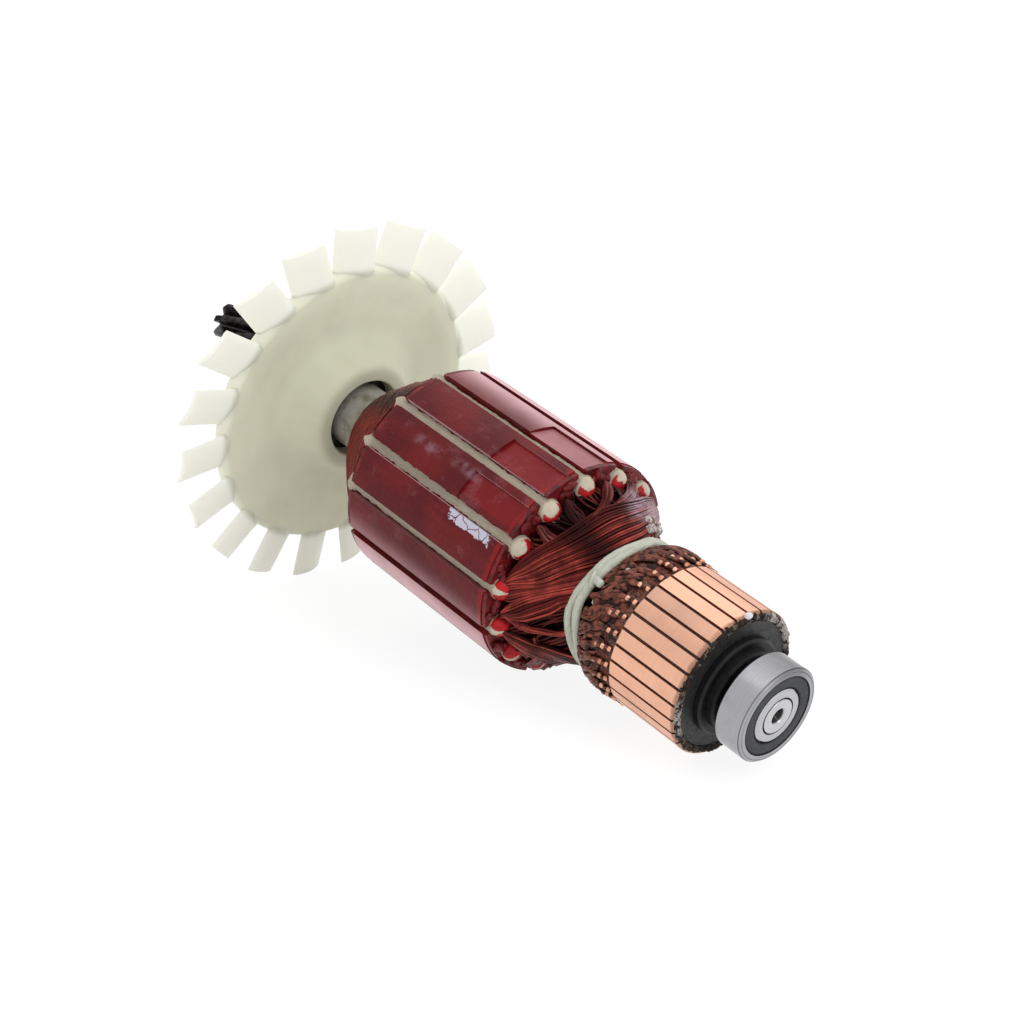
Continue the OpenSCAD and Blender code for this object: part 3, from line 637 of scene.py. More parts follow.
def insulating_tube():
    """Grey-white tube, stained brown."""
    f = Finish("insulating_tube", rough=0.6, specular=0.3)
    color = f.mix(f.patches(0.22, 5, 0.46, 0.66, rough=0.65), TUBE_PALE, TUBE_STAIN)
    color = f.mix(f.patches(1.0, 4, 0.55, 0.75, 0.0, 0.5), color, shade(TUBE_PALE, 0.45))
    return f.done(color, f.patches(0.6, 3, 0.3, 0.7, 0.45, 0.7), f.noise(1.3, 5), 0.08)


def slot_paper_finish(pale, red):
    """Pale paper with red lacquer that has run along its edges."""
    f = Finish("slot_paper", rough=0.75, specular=0.2)
    fibres = f.noise(1.0, 3, 0.6, f.stretched(2.0, 0, 0.35))
    color = f.mix(f.band(fibres, 0.35, 0.7), pale, shade(pale, 0.78))
    color = f.mix(f.patches(0.35, 4, 0.55, 0.75, 0.0, 0.45), color, (0.34, 0.27, 0.18))
    inside = f.window(f.along, CORE_FRONT - 1, CORE_BACK + 0.5, 0.4)
    reach = f.off_slot() - (f.noise(0.42, 4, 0.6) - 0.5) * 4.0
    color = f.mix(inside * f.band(reach, 2.1, 2.5), color, shade(red, 0.25))
    return f.done(color, None, fibres + f.noise(1.1, 4), 0.12)


def dome_finish(pale, red):
    """The domes that close the slots: pale, with red lacquer run round them."""
    f = Finish("slot_filling", coat_weight=0.1, coat_roughness=0.15, specular=0.15)
    off = f.off_slot() * (f.radius * (math.pi / 180)) / DOME_SIZE
    up = (f.radius - DOME_RADIUS) / DOME_SIZE
    ahead = (DOME_PLACE - f.along) / DOME_SIZE
    ragged = f.noise(0.6, 3) - 0.5
    shows = up * 0.75 + ahead * 0.65 + ragged * 0.5
    lacquer = f.mix(f.patches(0.6, 4, 0.35, 0.65), shade(red, 0.6), red)
    paper = f.mix(f.patches(0.5, 4, 0.4, 0.7), shade(pale, 1.2), shade(pale, 0.95))
    crescent = f.window(shows, 0.36, 0.78, 0.04) * f.band(ahead, 0.25, 0.4)
    # Towards the floor the lacquer covers the domes, and a narrow wedge stays pale.
    wedge = f.band(off + ahead * 0.4 + ragged * 0.3, 0.4, 0.46, 1.0, 0.0) * f.band(up, 0.1, 0.2)
    color = f.coats(
        paper,
        (crescent, lacquer),
        (f.band(shows, 0.08, 0.16, 1.0, 0.0), shade(red, 0.3)),
        (f.band(f.angle, 104, 106, 1.0, 0.0), f.mix(wedge, lacquer, paper)),
    )
    return f.done(color, 0.4, f.noise(1.4, 4), 0.12)


def lacing_cord_finish(pale):
    """Pale cord soaked in varnish: fine fibres along it."""
    f = Finish("lacing_cord", rough=0.55, specular=0.3)
    fibres = f.noise(1.0, 4, 0.65, f.stretched(0.12, 2.4, 2.6))
    color = f.mix(f.band(fibres, 0.35, 0.65), shade(pale, 0.8), pale)
    color = f.mix(f.patches(0.3, 4, 0.52, 0.75, 0.0, 0.45), color, shade(pale, 0.6))
    return f.done(color, None, fibres, 0.14)


def nylon(color, blade):
    """Ivory nylon, a little see-through, with painted shade round the hub. The thin blades are paler and
    cleaner, partly painted light shining through them.
    """
    depth = {"subsurface_weight": 0.25, "subsurface_scale": 0.004, "subsurface_radius": (1.0, 0.92, 0.6)}
    f = Finish("ivory_nylon", rough=0.42, specular=0.3, **depth)
    tone = f.coats(
        color,
        (f.band(f.noise(1.0, 3, 0.5, f.stretched(0.03, 0.05, 0.05)), 0.35, 0.7), shade(color, 0.93)),
        (f.patches(0.07, 4, 0.48, 0.75, 0.0, 0.18), (0.5, 0.46, 0.3)),
        # Painted shade on the disc round the hub.
        (f.band(f.radius, 16, 27, 0.35, 0.0), (0.44, 0.43, 0.3)),
        # The blades' paler colour, partly painted light shining through them.
        (f.band(f.radius, 34.6, 36.4), blade),
    )
    return f.done(tone, f.patches(0.5, 4, 0.3, 0.7, 0.36, 0.5), f.noise(0.8, 4), 0.03)


def ground_steel(name, tone, rough=0.26, painted_shade_within=0.0, edged=False):
    """Steel ground in fine lines, with painted shade within a radius. edged draws the dark lines of the outer
    ring and a painted shade over its top.
    """
    f = Finish(name, metal=1.0, rough=rough)
    grind = f.noise(1.0, 3, 0.6, f.stretched(0.01, 6.0, 6.0))
    cloud = f.noise(0.35, 4)
    color = f.mix(f.band(grind, 0.3, 0.7), shade(tone, 0.88), tone)
    color = f.mix(f.band(cloud, 0.55, 0.75, 0.0, 0.3), color, shade(tone, 0.7))
    if edged:
        line = f.sum("MAXIMUM", f.window(f.radius, 10.15, 10.32, 0.05), f.window(f.along, 0.5, 0.68, 0.06))
        color = f.mix(line * 0.75, color, shade(tone, 0.2))
        # Painted shade over the top of the outer ring.
        color = f.mix(f.window(f.angle, 160, 215, 22), color, (0.6, 0.6, 0.6), "MULTIPLY")
    # Painted shade in the gap where the inner ring meets the shaft.
    if painted_shade_within:
        dark = f.band(f.radius, painted_shade_within - 0.05, painted_shade_within + 0.05, 1.0, 0.0)
        color = f.mix(dark, color, (0.01, 0.01, 0.01))
    return f.done(color, f.band(cloud, 0.3, 0.7, rough - 0.05, rough + 0.1), grind, 0.012)


def black_rubber():
    """Rubber of the seals, with painted shade where it meets the rings."""
    f = Finish("seal_rubber", rough=0.6, specular=0.25)
    # Painted shade in the crevices where the seal meets the rings.
    edge = f.sum("MAXIMUM", f.band(f.radius, 8.95, 9.05), f.band(f.radius, 6.62, 6.74, 1.0, 0.0))
    color = f.mix(f.patches(1.6, 4, 0.3, 0.7), (0.034, 0.036, 0.039), (0.052, 0.054, 0.058))
    return f.done(f.mix(edge, color, (0.004, 0.004, 0.005)), None, f.noise(3.0, 4), 0.05)


def dark_steel():
    """Blackened steel of the bush."""
    f = Finish("blackened_steel", metal=0.4, rough=0.45, specular=0.2)
    color = f.mix(f.patches(0.6, 4, 0.35, 0.7), (0.015, 0.014, 0.014), (0.05, 0.048, 0.046))
    return f.done(color, f.patches(1.1, 3, 0.3, 0.7, 0.35, 0.55), f.noise(1.8, 4), 0.06)


def shaft_steel(tone):
    """Ground steel of the shaft, which turns dark at the pinion, with painted shade in its centre holes."""
    f = Finish("shaft_steel", metal=1.0, rough=0.27)
    grind = f.noise(1.0, 3, 0.6, f.stretched(0.01, 6.0, 6.0))
    oil = f.patches(0.5, 4, 0.35, 0.7)
    color = f.coats(
        shade(tone, 0.86),
        (f.band(grind, 0.3, 0.7), tone),
        # Painted shade in the centre holes at both ends.
        (f.band(f.radius, 1.6, 1.85, 1.0, 0.0), (0.03, 0.03, 0.03)),
        (f.band(f.along, 161.5, 165.5), f.mix(oil, (0.012, 0.011, 0.011), (0.05, 0.047, 0.044))),
    )
    return f.done(color, f.band(oil, 0.0, 1.0, 0.24, 0.4), grind, 0.015)


def pale_crust():
    """Pale, rough beads of varnish."""
    f = Finish("varnish_crust", rough=0.5, specular=0.3)
    tone = f.mix(f.patches(1.0, 4, 0.38, 0.62), (0.2, 0.12, 0.1), (0.66, 0.64, 0.62))
    return f.done(tone, None, f.noise(1.6, 4), 0.3)


def balance_resin():
    """White resin put on for balance."""
    f = Finish("balance_drop", rough=0.4, specular=0.5, coat_weight=0.3, coat_roughness=0.2)
    tone = f.mix(f.patches(1.0, 3, 0.4, 0.7), (0.74, 0.72, 0.76), (0.55, 0.52, 0.55))
    return f.done(tone, None, f.noise(1.5, 3), 0.1)


# Settings


def length(name, description, mm):
    return bpy.props.FloatProperty(
        name=name, description=description, default=mm * MM, min=0.0, unit="LENGTH", precision=5
    )


def tint(name, description, color):
    return bpy.props.FloatVectorProperty(
        name=name, description=description, default=color, min=0.0, max=1.0, size=3, subtype="COLOR"
    )


class ArmatureWindingSettings(bpy.types.PropertyGroup):
    wire: length("Wire", "Thickness of the enamelled wire", 0.68)
    lead: length("Lead", "Thickness of the bare wire ends on the bars", 1.2)
    cord: length("Cord", "Thickness of one strand of the lacing", 2.0)
    enamel: tint("Enamel", "Colour of the brighter wires", (0.43, 0.062, 0.045))
    enamel_dark: tint("Dark enamel", "Colour of the darker wires", (0.05, 0.005, 0.004))
    varnish: tint("Varnish", "Colour of the varnish on the leads", (0.15, 0.05, 0.03))
    lacing: tint("Lacing", "Colour of the lacing cord", (0.55, 0.57, 0.47))
    paper: tint("Paper", "Colour of the slot paper", (0.46, 0.4, 0.31))


class ArmatureCoreSettings(bpy.types.PropertyGroup):
    lacquer: tint("Lacquer", "Deep colour of the lacquer on the core", (0.1, 0.006, 0.0085))
    lacquer_bright: tint("Bright lacquer", "Colour where the lacquer is thick", (0.165, 0.01, 0.012))
    filling: tint("Slot filling", "Colour of the lacquered ends of the slots", (0.5, 0.012, 0.018))
    flare: length("Flare", "How far a slot paper opens at its front end", 0.35)


class ArmatureMetalSettings(bpy.types.PropertyGroup):
    copper: tint("Copper", "Colour of the turned copper bars", (0.86, 0.48, 0.335))
    steel: tint("Steel", "Colour of the bearing's rings", (0.4, 0.4, 0.42))
    shaft: tint("Shaft", "Colour of the ground shaft", (0.6, 0.6, 0.61))
    bevel: length("Bevel", "Rounding of turned edges", 0.3)


class ArmatureFanSettings(bpy.types.PropertyGroup):
    nylon: tint("Nylon", "Colour of the fan's disc and hub", (0.76, 0.76, 0.59))
    blade: tint("Blade", "Colour of the fan's thin blades", (0.95, 0.96, 0.84))
    disc: length("Disc", "Diameter of the disc", 71.0)
    tips: length("Tips", "Diameter over the blade tips", 92.2)
    chord: length("Chord", "Chord of a blade", 10.6)
    thickness: length("Thickness", "Thickness of a blade", 1.5)
    pitch: bpy.props.FloatProperty(
        name="Pitch", description="Pitch of a blade", default=math.radians(16), subtype="ANGLE"
    )
    blades: bpy.props.IntProperty(name="Blades", description="Number of blades", default=19, min=3, max=30)


class ArmatureStageSettings(bpy.types.PropertyGroup):
    floor: tint("Floor", "Colour of the floor", (0.93, 0.93, 0.94))
    sky: bpy.props.FloatProperty(
        name="Sky", description="Strength of the light from all round", default=0.85, min=0.0, max=2.0
    )
    key: bpy.props.FloatProperty(
        name="Key lamp", description="Power of the large lamp overhead", default=7.5, min=0.0, unit="POWER"
    )
    fill: bpy.props.FloatProperty(
        name="Fill lamp", description="Power of the lamp by the camera", default=1.2, min=0.0, unit="POWER"
    )


# Pieces


class ARMATURE_OT_stage(bpy.types.Operator):
    """Build the floor, the soft light and the camera"""

    bl_idname = "armature.stage"
    bl_label = "Stage"

    def execute(self, context):
        looks = context.scene.armature_stage
        scene = context.scene
        scene.view_settings.view_transform = "Standard"
        mesh = bpy.data.meshes.new("floor")
        bm = bmesh.new()
        bmesh.ops.create_circle(bm, cap_ends=True, segments=96, radius=FLOOR_RADIUS)
        bm.to_mesh(mesh)
        bm.free()
        floor = bpy.data.objects.new("floor", mesh)
        scene.collection.objects.link(floor)
        floor.location.z = -FLOOR_DROP
        mesh.materials.append(self.pale_floor(looks.floor))
        self.sky(scene, looks.sky)
        self.lamp(scene, "key_lamp", (-0.15, 0.4, 1.25), looks.key, 2.2)
        self.lamp(scene, "fill_lamp", (0.75, -0.1, 0.6), looks.fill, 0.22)
        camera = bpy.data.objects.new("camera", bpy.data.cameras.new("camera"))
        scene.collection.objects.link(camera)
        camera.location = CAMERA_PLACE
        camera.rotation_euler = [math.radians(a) for a in CAMERA_TURN]
        camera.data.sensor_width = CAMERA_SENSOR
        camera.data.lens = CAMERA_LENS
        camera.data.clip_start, camera.data.clip_end = CAMERA_REACH
        scene.camera = camera
        return {"FINISHED"}

    def pale_floor(self, color):
        """White to the camera and in reflections, with the part's shadow, and pale to the light."""
        material = bpy.data.materials.new("pale_floor")
        material.use_nodes = True
        tree = material.node_tree
        tree.nodes.clear()
        plain = add_node(tree, "BsdfDiffuse", color).outputs[0]
        glow = add_node(tree, "Emission", WHITE, FLOOR_GLOW).outputs[0]
        shadowed = add_node(tree, "MixShader", FLOOR_SHADOW, glow, plain).outputs[0]
        choice = add_node(tree, "MixShader", self.seen(tree), plain, shadowed).outputs[0]
        add_node(tree, "OutputMaterial", choice)
        return material

    def seen(self, tree):
        """1 for what the camera sees, itself or through gloss and glass."""
        rays = add_node(tree, "LightPath").outputs
        total = rays["Is Camera Ray"]
        for name in ("Is Glossy Ray", "Is Transmission Ray"):
            total = add_node(tree, "Math", total, rays[name], operation="MAXIMUM").outputs[0]
        return total

    def sky(self, scene, strength):
        """Even light from all round, plain white to the camera and in reflections."""
        world = bpy.data.worlds.new("soft_sky")
        scene.world = world
        world.use_nodes = True
        tree = world.node_tree
        tree.nodes.clear()
        light = add_node(tree, "Background", WHITE, strength).outputs[0]
        white = add_node(tree, "Background", WHITE, 1.0).outputs[0]
        choice = add_node(tree, "MixShader", self.seen(tree), light, white).outputs[0]
        add_node(tree, "OutputWorld", choice)

    def lamp(self, scene, name, place, power, size):
        """A square lamp that shines at the part."""
        light = bpy.data.lights.new(name, "AREA")
        light.energy = power
        light.size = size
        lamp = bpy.data.objects.new(name, light)
        scene.collection.objects.link(lamp)
        lamp.location = place
        lamp.rotation_euler = (Vector(PART_MIDDLE) - Vector(place)).to_track_quat("-Z", "Y").to_euler()


class ARMATURE_OT_shaft(bpy.types.Operator):
    """Build the turned shaft with its centre hole and helical teeth, and the tube on it"""

    bl_idname = "armature.shaft"
    bl_label = "Shaft"

    def execute(self, context):
        looks = context.scene.armature_metal
        bevel = looks.bevel / MM
        form = Form()
        outline = [
            (0, 2.6), (0.55, 2.2, 0.1), (0.75, 1.8, 0.1), (1.95, 0, 0.12), (4, 0, bevel), (4, 7.2, 0.05),
            (5.3, 7.2), (5.3, 49.9, 0.6), (6.2, 50.9, 0.6), (6.2, 149.6), (6, 150, 0.1), (6, 162, bevel),
            (3.3, 163.8, 1.2), (3.1, 166, 0.5), (0, 166),
        ]
        form.lathe(soften(outline, 0.2, 4), 96)
        self.pinion(form)
        make("turned_shaft", form, shaft_steel(looks.shaft), ["shaft"], 32, weld=True)
        dress(insulating_tube(), "shaft_tube")
        return {"FINISHED"}

    def pinion(self, form):
        """Seven rounded helical teeth with a bevelled end and a centre hole."""
        teeth, tip, root, start, end, turn = 7, 5.2, 3.1, 165.6, 191.0, -125.6
        share = np.linspace(0, 1, 12, endpoint=False)
        wave = np.abs(share - 0.5) * 2
        height = np.clip((wave - 0.18) / 0.54, 0, 1)
        profile = root + (tip - root) * (height * height * (3 - 2 * height))
        radius = np.tile(profile, teeth)
        angle = (np.arange(teeth)[:, None] + share[None, :]).ravel() * 360 / teeth + 180 / teeth
        steps = np.concatenate([np.linspace(start, end - 0.5, 40), [end - 0.25, end]])
        rings = []
        for z in steps:
            trim = 1 - 0.09 * max(0, (z - (end - 0.5)) / 0.5)
            rings.append(around(angle + turn * (z - start) / (end - start), radius * trim, z))
        last = rings[-1]
        for r, z in ((1.35, end), (0.25, end - 2.0)):
            rings.append(around(np.degrees(np.arctan2(last[:, 1], last[:, 0])), r, z))
        form.loft(rings)


class ARMATURE_OT_core(bpy.types.Operator):
    """Finish the lacquered core and its end plates, with drops of lacquer on them"""

    bl_idname = "armature.core"
    bl_label = "Core"

    def execute(self, context):
        looks = context.scene.armature_core
        dress(red_lacquer(looks.lacquer, looks.lacquer_bright), "lamination_stack")
        fibre = fibre_red(shade(looks.lacquer_bright, 1.2))
        dress(fibre, "front_end_plate", "rear_end_plate")
        draw = np.random.default_rng(11)
        form = Form()
        for tooth in range(SLOTS):
            middle = SLOT_TURN + (tooth + 0.5) * SLOT_PITCH
            for _ in range(4):
                a, r = middle + draw.uniform(-7, 7), draw.uniform(22.2, 24.2)
                size = chances(draw, (0.7, 1.4), (0.8, 1.7), (0.5, 1.1))
                form.lump(around(a, r, 60.6 - size[2] * 0.3), size, draw)
            for _ in range(2):
                a = middle + draw.choice([-1, 1]) * draw.uniform(6, 8.6)
                size = chances(draw, (0.3, 0.6), (0.5, 0.9), (0.3, 0.6))
                form.lump(around(a, draw.uniform(24.2, 24.8), 108.2), size, draw)
        make("lacquer_drops", form, fibre)
        return {"FINISHED"}


def slot_outline(inset, crown, count=44):
    """Pear shape of a slot at angle 0. crown rounds its top, from flat at 0 to full at 1."""
    top_r, foot_r = 2.8 - inset, 1.3 - inset
    top_x, foot_x = 21.7, 16.2
    lean = math.asin((top_r - foot_r) / (top_x - foot_x))
    flat = math.asin(1.2 / 2.8) * (1 - crown)
    turn = np.linspace(flat, math.pi / 2 + lean, count // 4)
    side = np.stack([top_x + top_r * np.cos(turn), top_r * np.sin(turn)], axis=1)
    turn = np.linspace(math.pi / 2 + lean, math.pi, count // 4)
    foot = np.stack([foot_x + foot_r * np.cos(turn), foot_r * np.sin(turn)], axis=1)
    half = np.vstack([side, foot])
    mirrored = half[::-1][1:-1] * (1, -1) if crown >= 1 else half[::-1][1:] * (1, -1)
    closed = np.vstack([half, mirrored, half[:1]])
    run = run_length(closed)
    even = np.linspace(0, run[-1], count, endpoint=False)
    return np.stack([np.interp(even, run, closed[:, k]) for k in (0, 1)], axis=1)


class ARMATURE_OT_papers(bpy.types.Operator):
    """Build the folded paper of each slot, which opens into a lobe at the front"""

    bl_idname = "armature.papers"
    bl_label = "Slot papers"

    def execute(self, context):
        winding, core = context.scene.armature_winding, context.scene.armature_core
        finish = slot_paper_finish(winding.paper, core.filling)
        draw = np.random.default_rng(5)
        for i in range(SLOTS):
            form = Form()
            self.paper(form, SLOT_TURN + i * SLOT_PITCH, core.flare / MM, draw)
            make(f"folded_paper_{i + 1:02d}", form, finish, [f"slot_paper_{i + 1:02d}"], 50)
        return {"FINISHED"}

    def paper(self, form, angle, flare, draw):
        """One folded paper, a sheet closed round the slot, with frayed ends."""
        front, back = DOME_PLACE + 0.15, CORE_BACK + PLATE + 2.4
        places = [front, front + 0.3, front + 0.8, 61.9, 64, 75, 90, 104, 107.6, 108.8, 109.8, back]
        wave = draw.uniform(0, 6.28, 3)
        rings = []
        for inset, order in ((0.1, places), (0.42, places[::-1])):
            for z in order:
                nose = np.clip((CORE_FRONT - z) / 2.4, 0, 1)
                tail = np.clip((z - 107.4) / 2.8, 0, 1)
                x, y = slot_outline(inset, 0.0).T
                top = np.clip((x - 20.5) / 3.6, 0, 1)
                x += top * (nose * (0.3 * (1 - (y / 2.9) ** 2)) + tail * 0.3)
                y *= 1 + (nose * flare / 2.8 + tail * 0.12) * top
                frayed = 0.9 * np.abs(y) + 0.3 * np.sin(y * 2 + wave[2])
                end = nose * 0.1 * np.sin(y * 2.3 + wave[1]) - tail * frayed * top
                rings.append(turned(x, y, z + end, angle))
        form.loft(rings, loop=True)


def skin(z):
    """Radius of the front head's skin at a place along the shaft."""
    return np.interp(z, *SKIN)


def wander(draw, count, size):
    """A slow, small wander along a wire."""
    t = np.linspace(0, 1, count)
    phase, pace = draw.uniform(0, 6.28, 3), draw.uniform(0.6, 2.4, 3)
    return size * sum(np.sin(6.28 * k * t + p) for p, k in zip(phase, pace)) / 2


def sweep(points, middle, samples):
    """An edge of a bundle, run on as its mirror image where the bundle crosses the head."""
    flat = np.array((0.35, 1))
    points = np.array(points, float)
    if middle is not None:
        points = np.vstack([points, points[-2::-1] * (-1, 1) + (2 * middle, 0)])
    return smooth_run(points * flat, samples) / flat


def lay_bundle(form, name, wire, draw, turn=0, mirrored=False):
    """Lays the wires of one bundle side by side between its two edges, in two layers."""
    outer, inner, count, first, last = BUNDLES[name]
    middle = MIDDLES.get(name)
    samples = 24 if middle is None else 60
    outer, inner = sweep(outer, middle, samples), sweep(inner, middle, samples)
    for layer in range(2):
        for k in range(count - layer):
            share = (k + 0.5 * layer + draw.uniform(-0.16, 0.16)) / (count - 1)
            line = outer * (1 - share) + inner * share
            a = line[:, 0] + wander(draw, samples, 0.45)
            z = line[:, 1] + wander(draw, samples, 0.06)
            rise = np.linspace(first, last, samples) + wander(draw, samples, 0.06)
            rise += 0.25 * math.sin(math.pi * np.clip(share, 0, 1)) - 0.75 * wire * layer
            if mirrored:
                a = 2 * MIRROR - a
            thin = wire / 2 * draw.uniform(0.9, 1.03) * np.clip(0.35 + np.linspace(0, 6.5, samples), 0, 1)
            form.tube(around(a + turn, skin(z) + rise, z), thin, 8)


class ARMATURE_OT_front_head(bpy.types.Operator):
    """Build the winding head at the commutator end, wire by wire"""

    bl_idname = "armature.front_head"
    bl_label = "Front winding head"

    def execute(self, context):
        looks = context.scene.armature_winding
        wire = looks.wire / MM
        draw = np.random.default_rng(3)
        body = Form()
        # The body under the wires, 1.7 mm below their skin, is near black: painted shade.
        z = np.linspace(42.2, 60.4, 22)
        outer = np.stack([skin(z) - 1.7, z], axis=1)
        outline = np.vstack([outer, [(8.1, 60.4), (8.1, 52.8), (6.4, 52.6), (6.4, 42.2)]])

        def ripple(a, r, z):
            return r + 0.18 * np.sin(np.radians(a * SLOTS + z * 20)) * (r > 9), z

        body.lathe(outline, 168, ripple)
        make("coil_body", body, coil_shade(), sharp=60)
        wires, feet = Form(), Form()
        for name in BUNDLES:
            for turn, mirrored in [(0, False), *REPEATS.get(name, [])]:
                lay_bundle(feet if name in "def" else wires, name, wire, draw, turn, mirrored)
        finish = enamel_wire("feet_enamel", looks.enamel_dark, (0.26, 0.075, 0.07))
        make("feet_of_wires", feet, finish)
        finish = enamel_wire("enamel_wire", looks.enamel_dark, looks.enamel)
        make("front_wires", wires, finish, replaces=["winding_front_head"])
        # A deeper layer, which shows between the bundles. Its enamel is a darker copy of the wires' colours:
        # painted shade for its depth.
        under = Form()
        for slot in range(SLOTS):
            start = SLOT_TURN + slot * SLOT_PITCH
            for k in range(7):
                t = np.linspace(0, 1, 22)
                a = start + (k - 3) * 2.6 + 34 * t**1.5 + wander(draw, 22, 1.2)
                place = 59.6 - 14.2 * t + wander(draw, 22, 0.15)
                r = skin(place) - 0.95 + wander(draw, 22, 0.2)
                under.tube(around(a, r, place), wire / 2, 6)
        finish = enamel_wire("shaded_under_enamel", shade(looks.enamel_dark, 0.6), shade(looks.enamel, 0.35))
        make("under_wires", under, finish)
        crust = Form()
        for _ in range(9):
            a, place = draw.uniform(200, 222), draw.uniform(47.6, 51.4)
            crust.lump(around(a, skin(place) + 0.6, place), draw.uniform(0.7, 1.5, 3), draw, 9, 14, 0.1)
        make("varnish_crust", crust, pale_crust())
        return {"FINISHED"}


class ARMATURE_OT_coils(bpy.types.Operator):
    """Build the filled slots and the winding head at the fan end"""

    bl_idname = "armature.coils"
    bl_label = "Slots and rear head"

    def execute(self, context):
        looks, core = context.scene.armature_winding, context.scene.armature_core
        wire = looks.wire / MM
        filling = Form()
        draw = np.random.default_rng(23)
        back = CORE_BACK + PLATE + 2.2
        nose = np.radians([84, 72, 58, 44, 30, 15, 0])
        places = [*zip(DOME_PLACE - DOME_SIZE * 0.9 * np.sin(nose), np.cos(nose))]
        places += [(60.7, 0.93), (61.2, 0.8), (62.5, 0.9), (back, 1.0)]
        domed, deep = slot_outline(2.8 - DOME_SIZE, 1.0, 32), slot_outline(0.5, 0.0, 32)
        for i in range(SLOTS):
            rings = []
            for z, size in places:
                x, y = (domed if z < CORE_FRONT else deep).T
                x = DOME_RADIUS + (x - DOME_RADIUS) * size
                rings.append(turned(x, y * size, z, SLOT_TURN + i * SLOT_PITCH))
            filling.loft(rings)
        make("slot_filling", filling, dome_finish(looks.paper, core.filling), replaces=["winding"], sharp=50)
        # The rear head's body under its wires is painted near black as shade too.
        body = Form()
        outline = [self.dome(t, 1.1) for t in np.linspace(0, 1, 20)]
        outline += [(TUBE_R + 0.1, 127.8), (TUBE_R + 0.1, 108.2), (20.5, 108.2)]
        body.lathe(outline, 120)
        make("rear_coil_body", body, coil_shade(), sharp=60)
        wires = Form()
        count = 26
        # Two layers of wires: how deep each lies and how far it swings round.
        for layer, (lift, swing) in enumerate(((1.0, 60), (0.42, 96))):
            for slot in range(SLOTS):
                for k in range(8):
                    t = np.linspace(0.0, 1, count)
                    start = SLOT_TURN + slot * SLOT_PITCH + (k - 3.5) * 2.9 + 12.8 * layer
                    a = start + swing * t**1.35 + wander(draw, count, 0.7)
                    r, z = np.array([self.dome(s, lift) for s in np.clip(t * 0.94, 0, 1)]).T
                    wires.tube(around(a, r + wander(draw, count, 0.12), z), wire / 2, 6)
        finish = enamel_wire("rear_enamel", shade(looks.enamel_dark, 2.0), shade(looks.enamel, 0.5))
        make("rear_wires", wires, finish)
        return {"FINISHED"}

    def dome(self, t, inset):
        """A point of the rear head's outline, drawn in by inset."""
        a, neck, belly, start, reach = t * math.pi / 2, 9.0, 23.1, 110.6, 18.2
        r = neck + (belly - neck) * math.cos(a) ** 1.6 - inset
        return r, start + reach * math.sin(a) ** 2 - inset * math.sin(a)


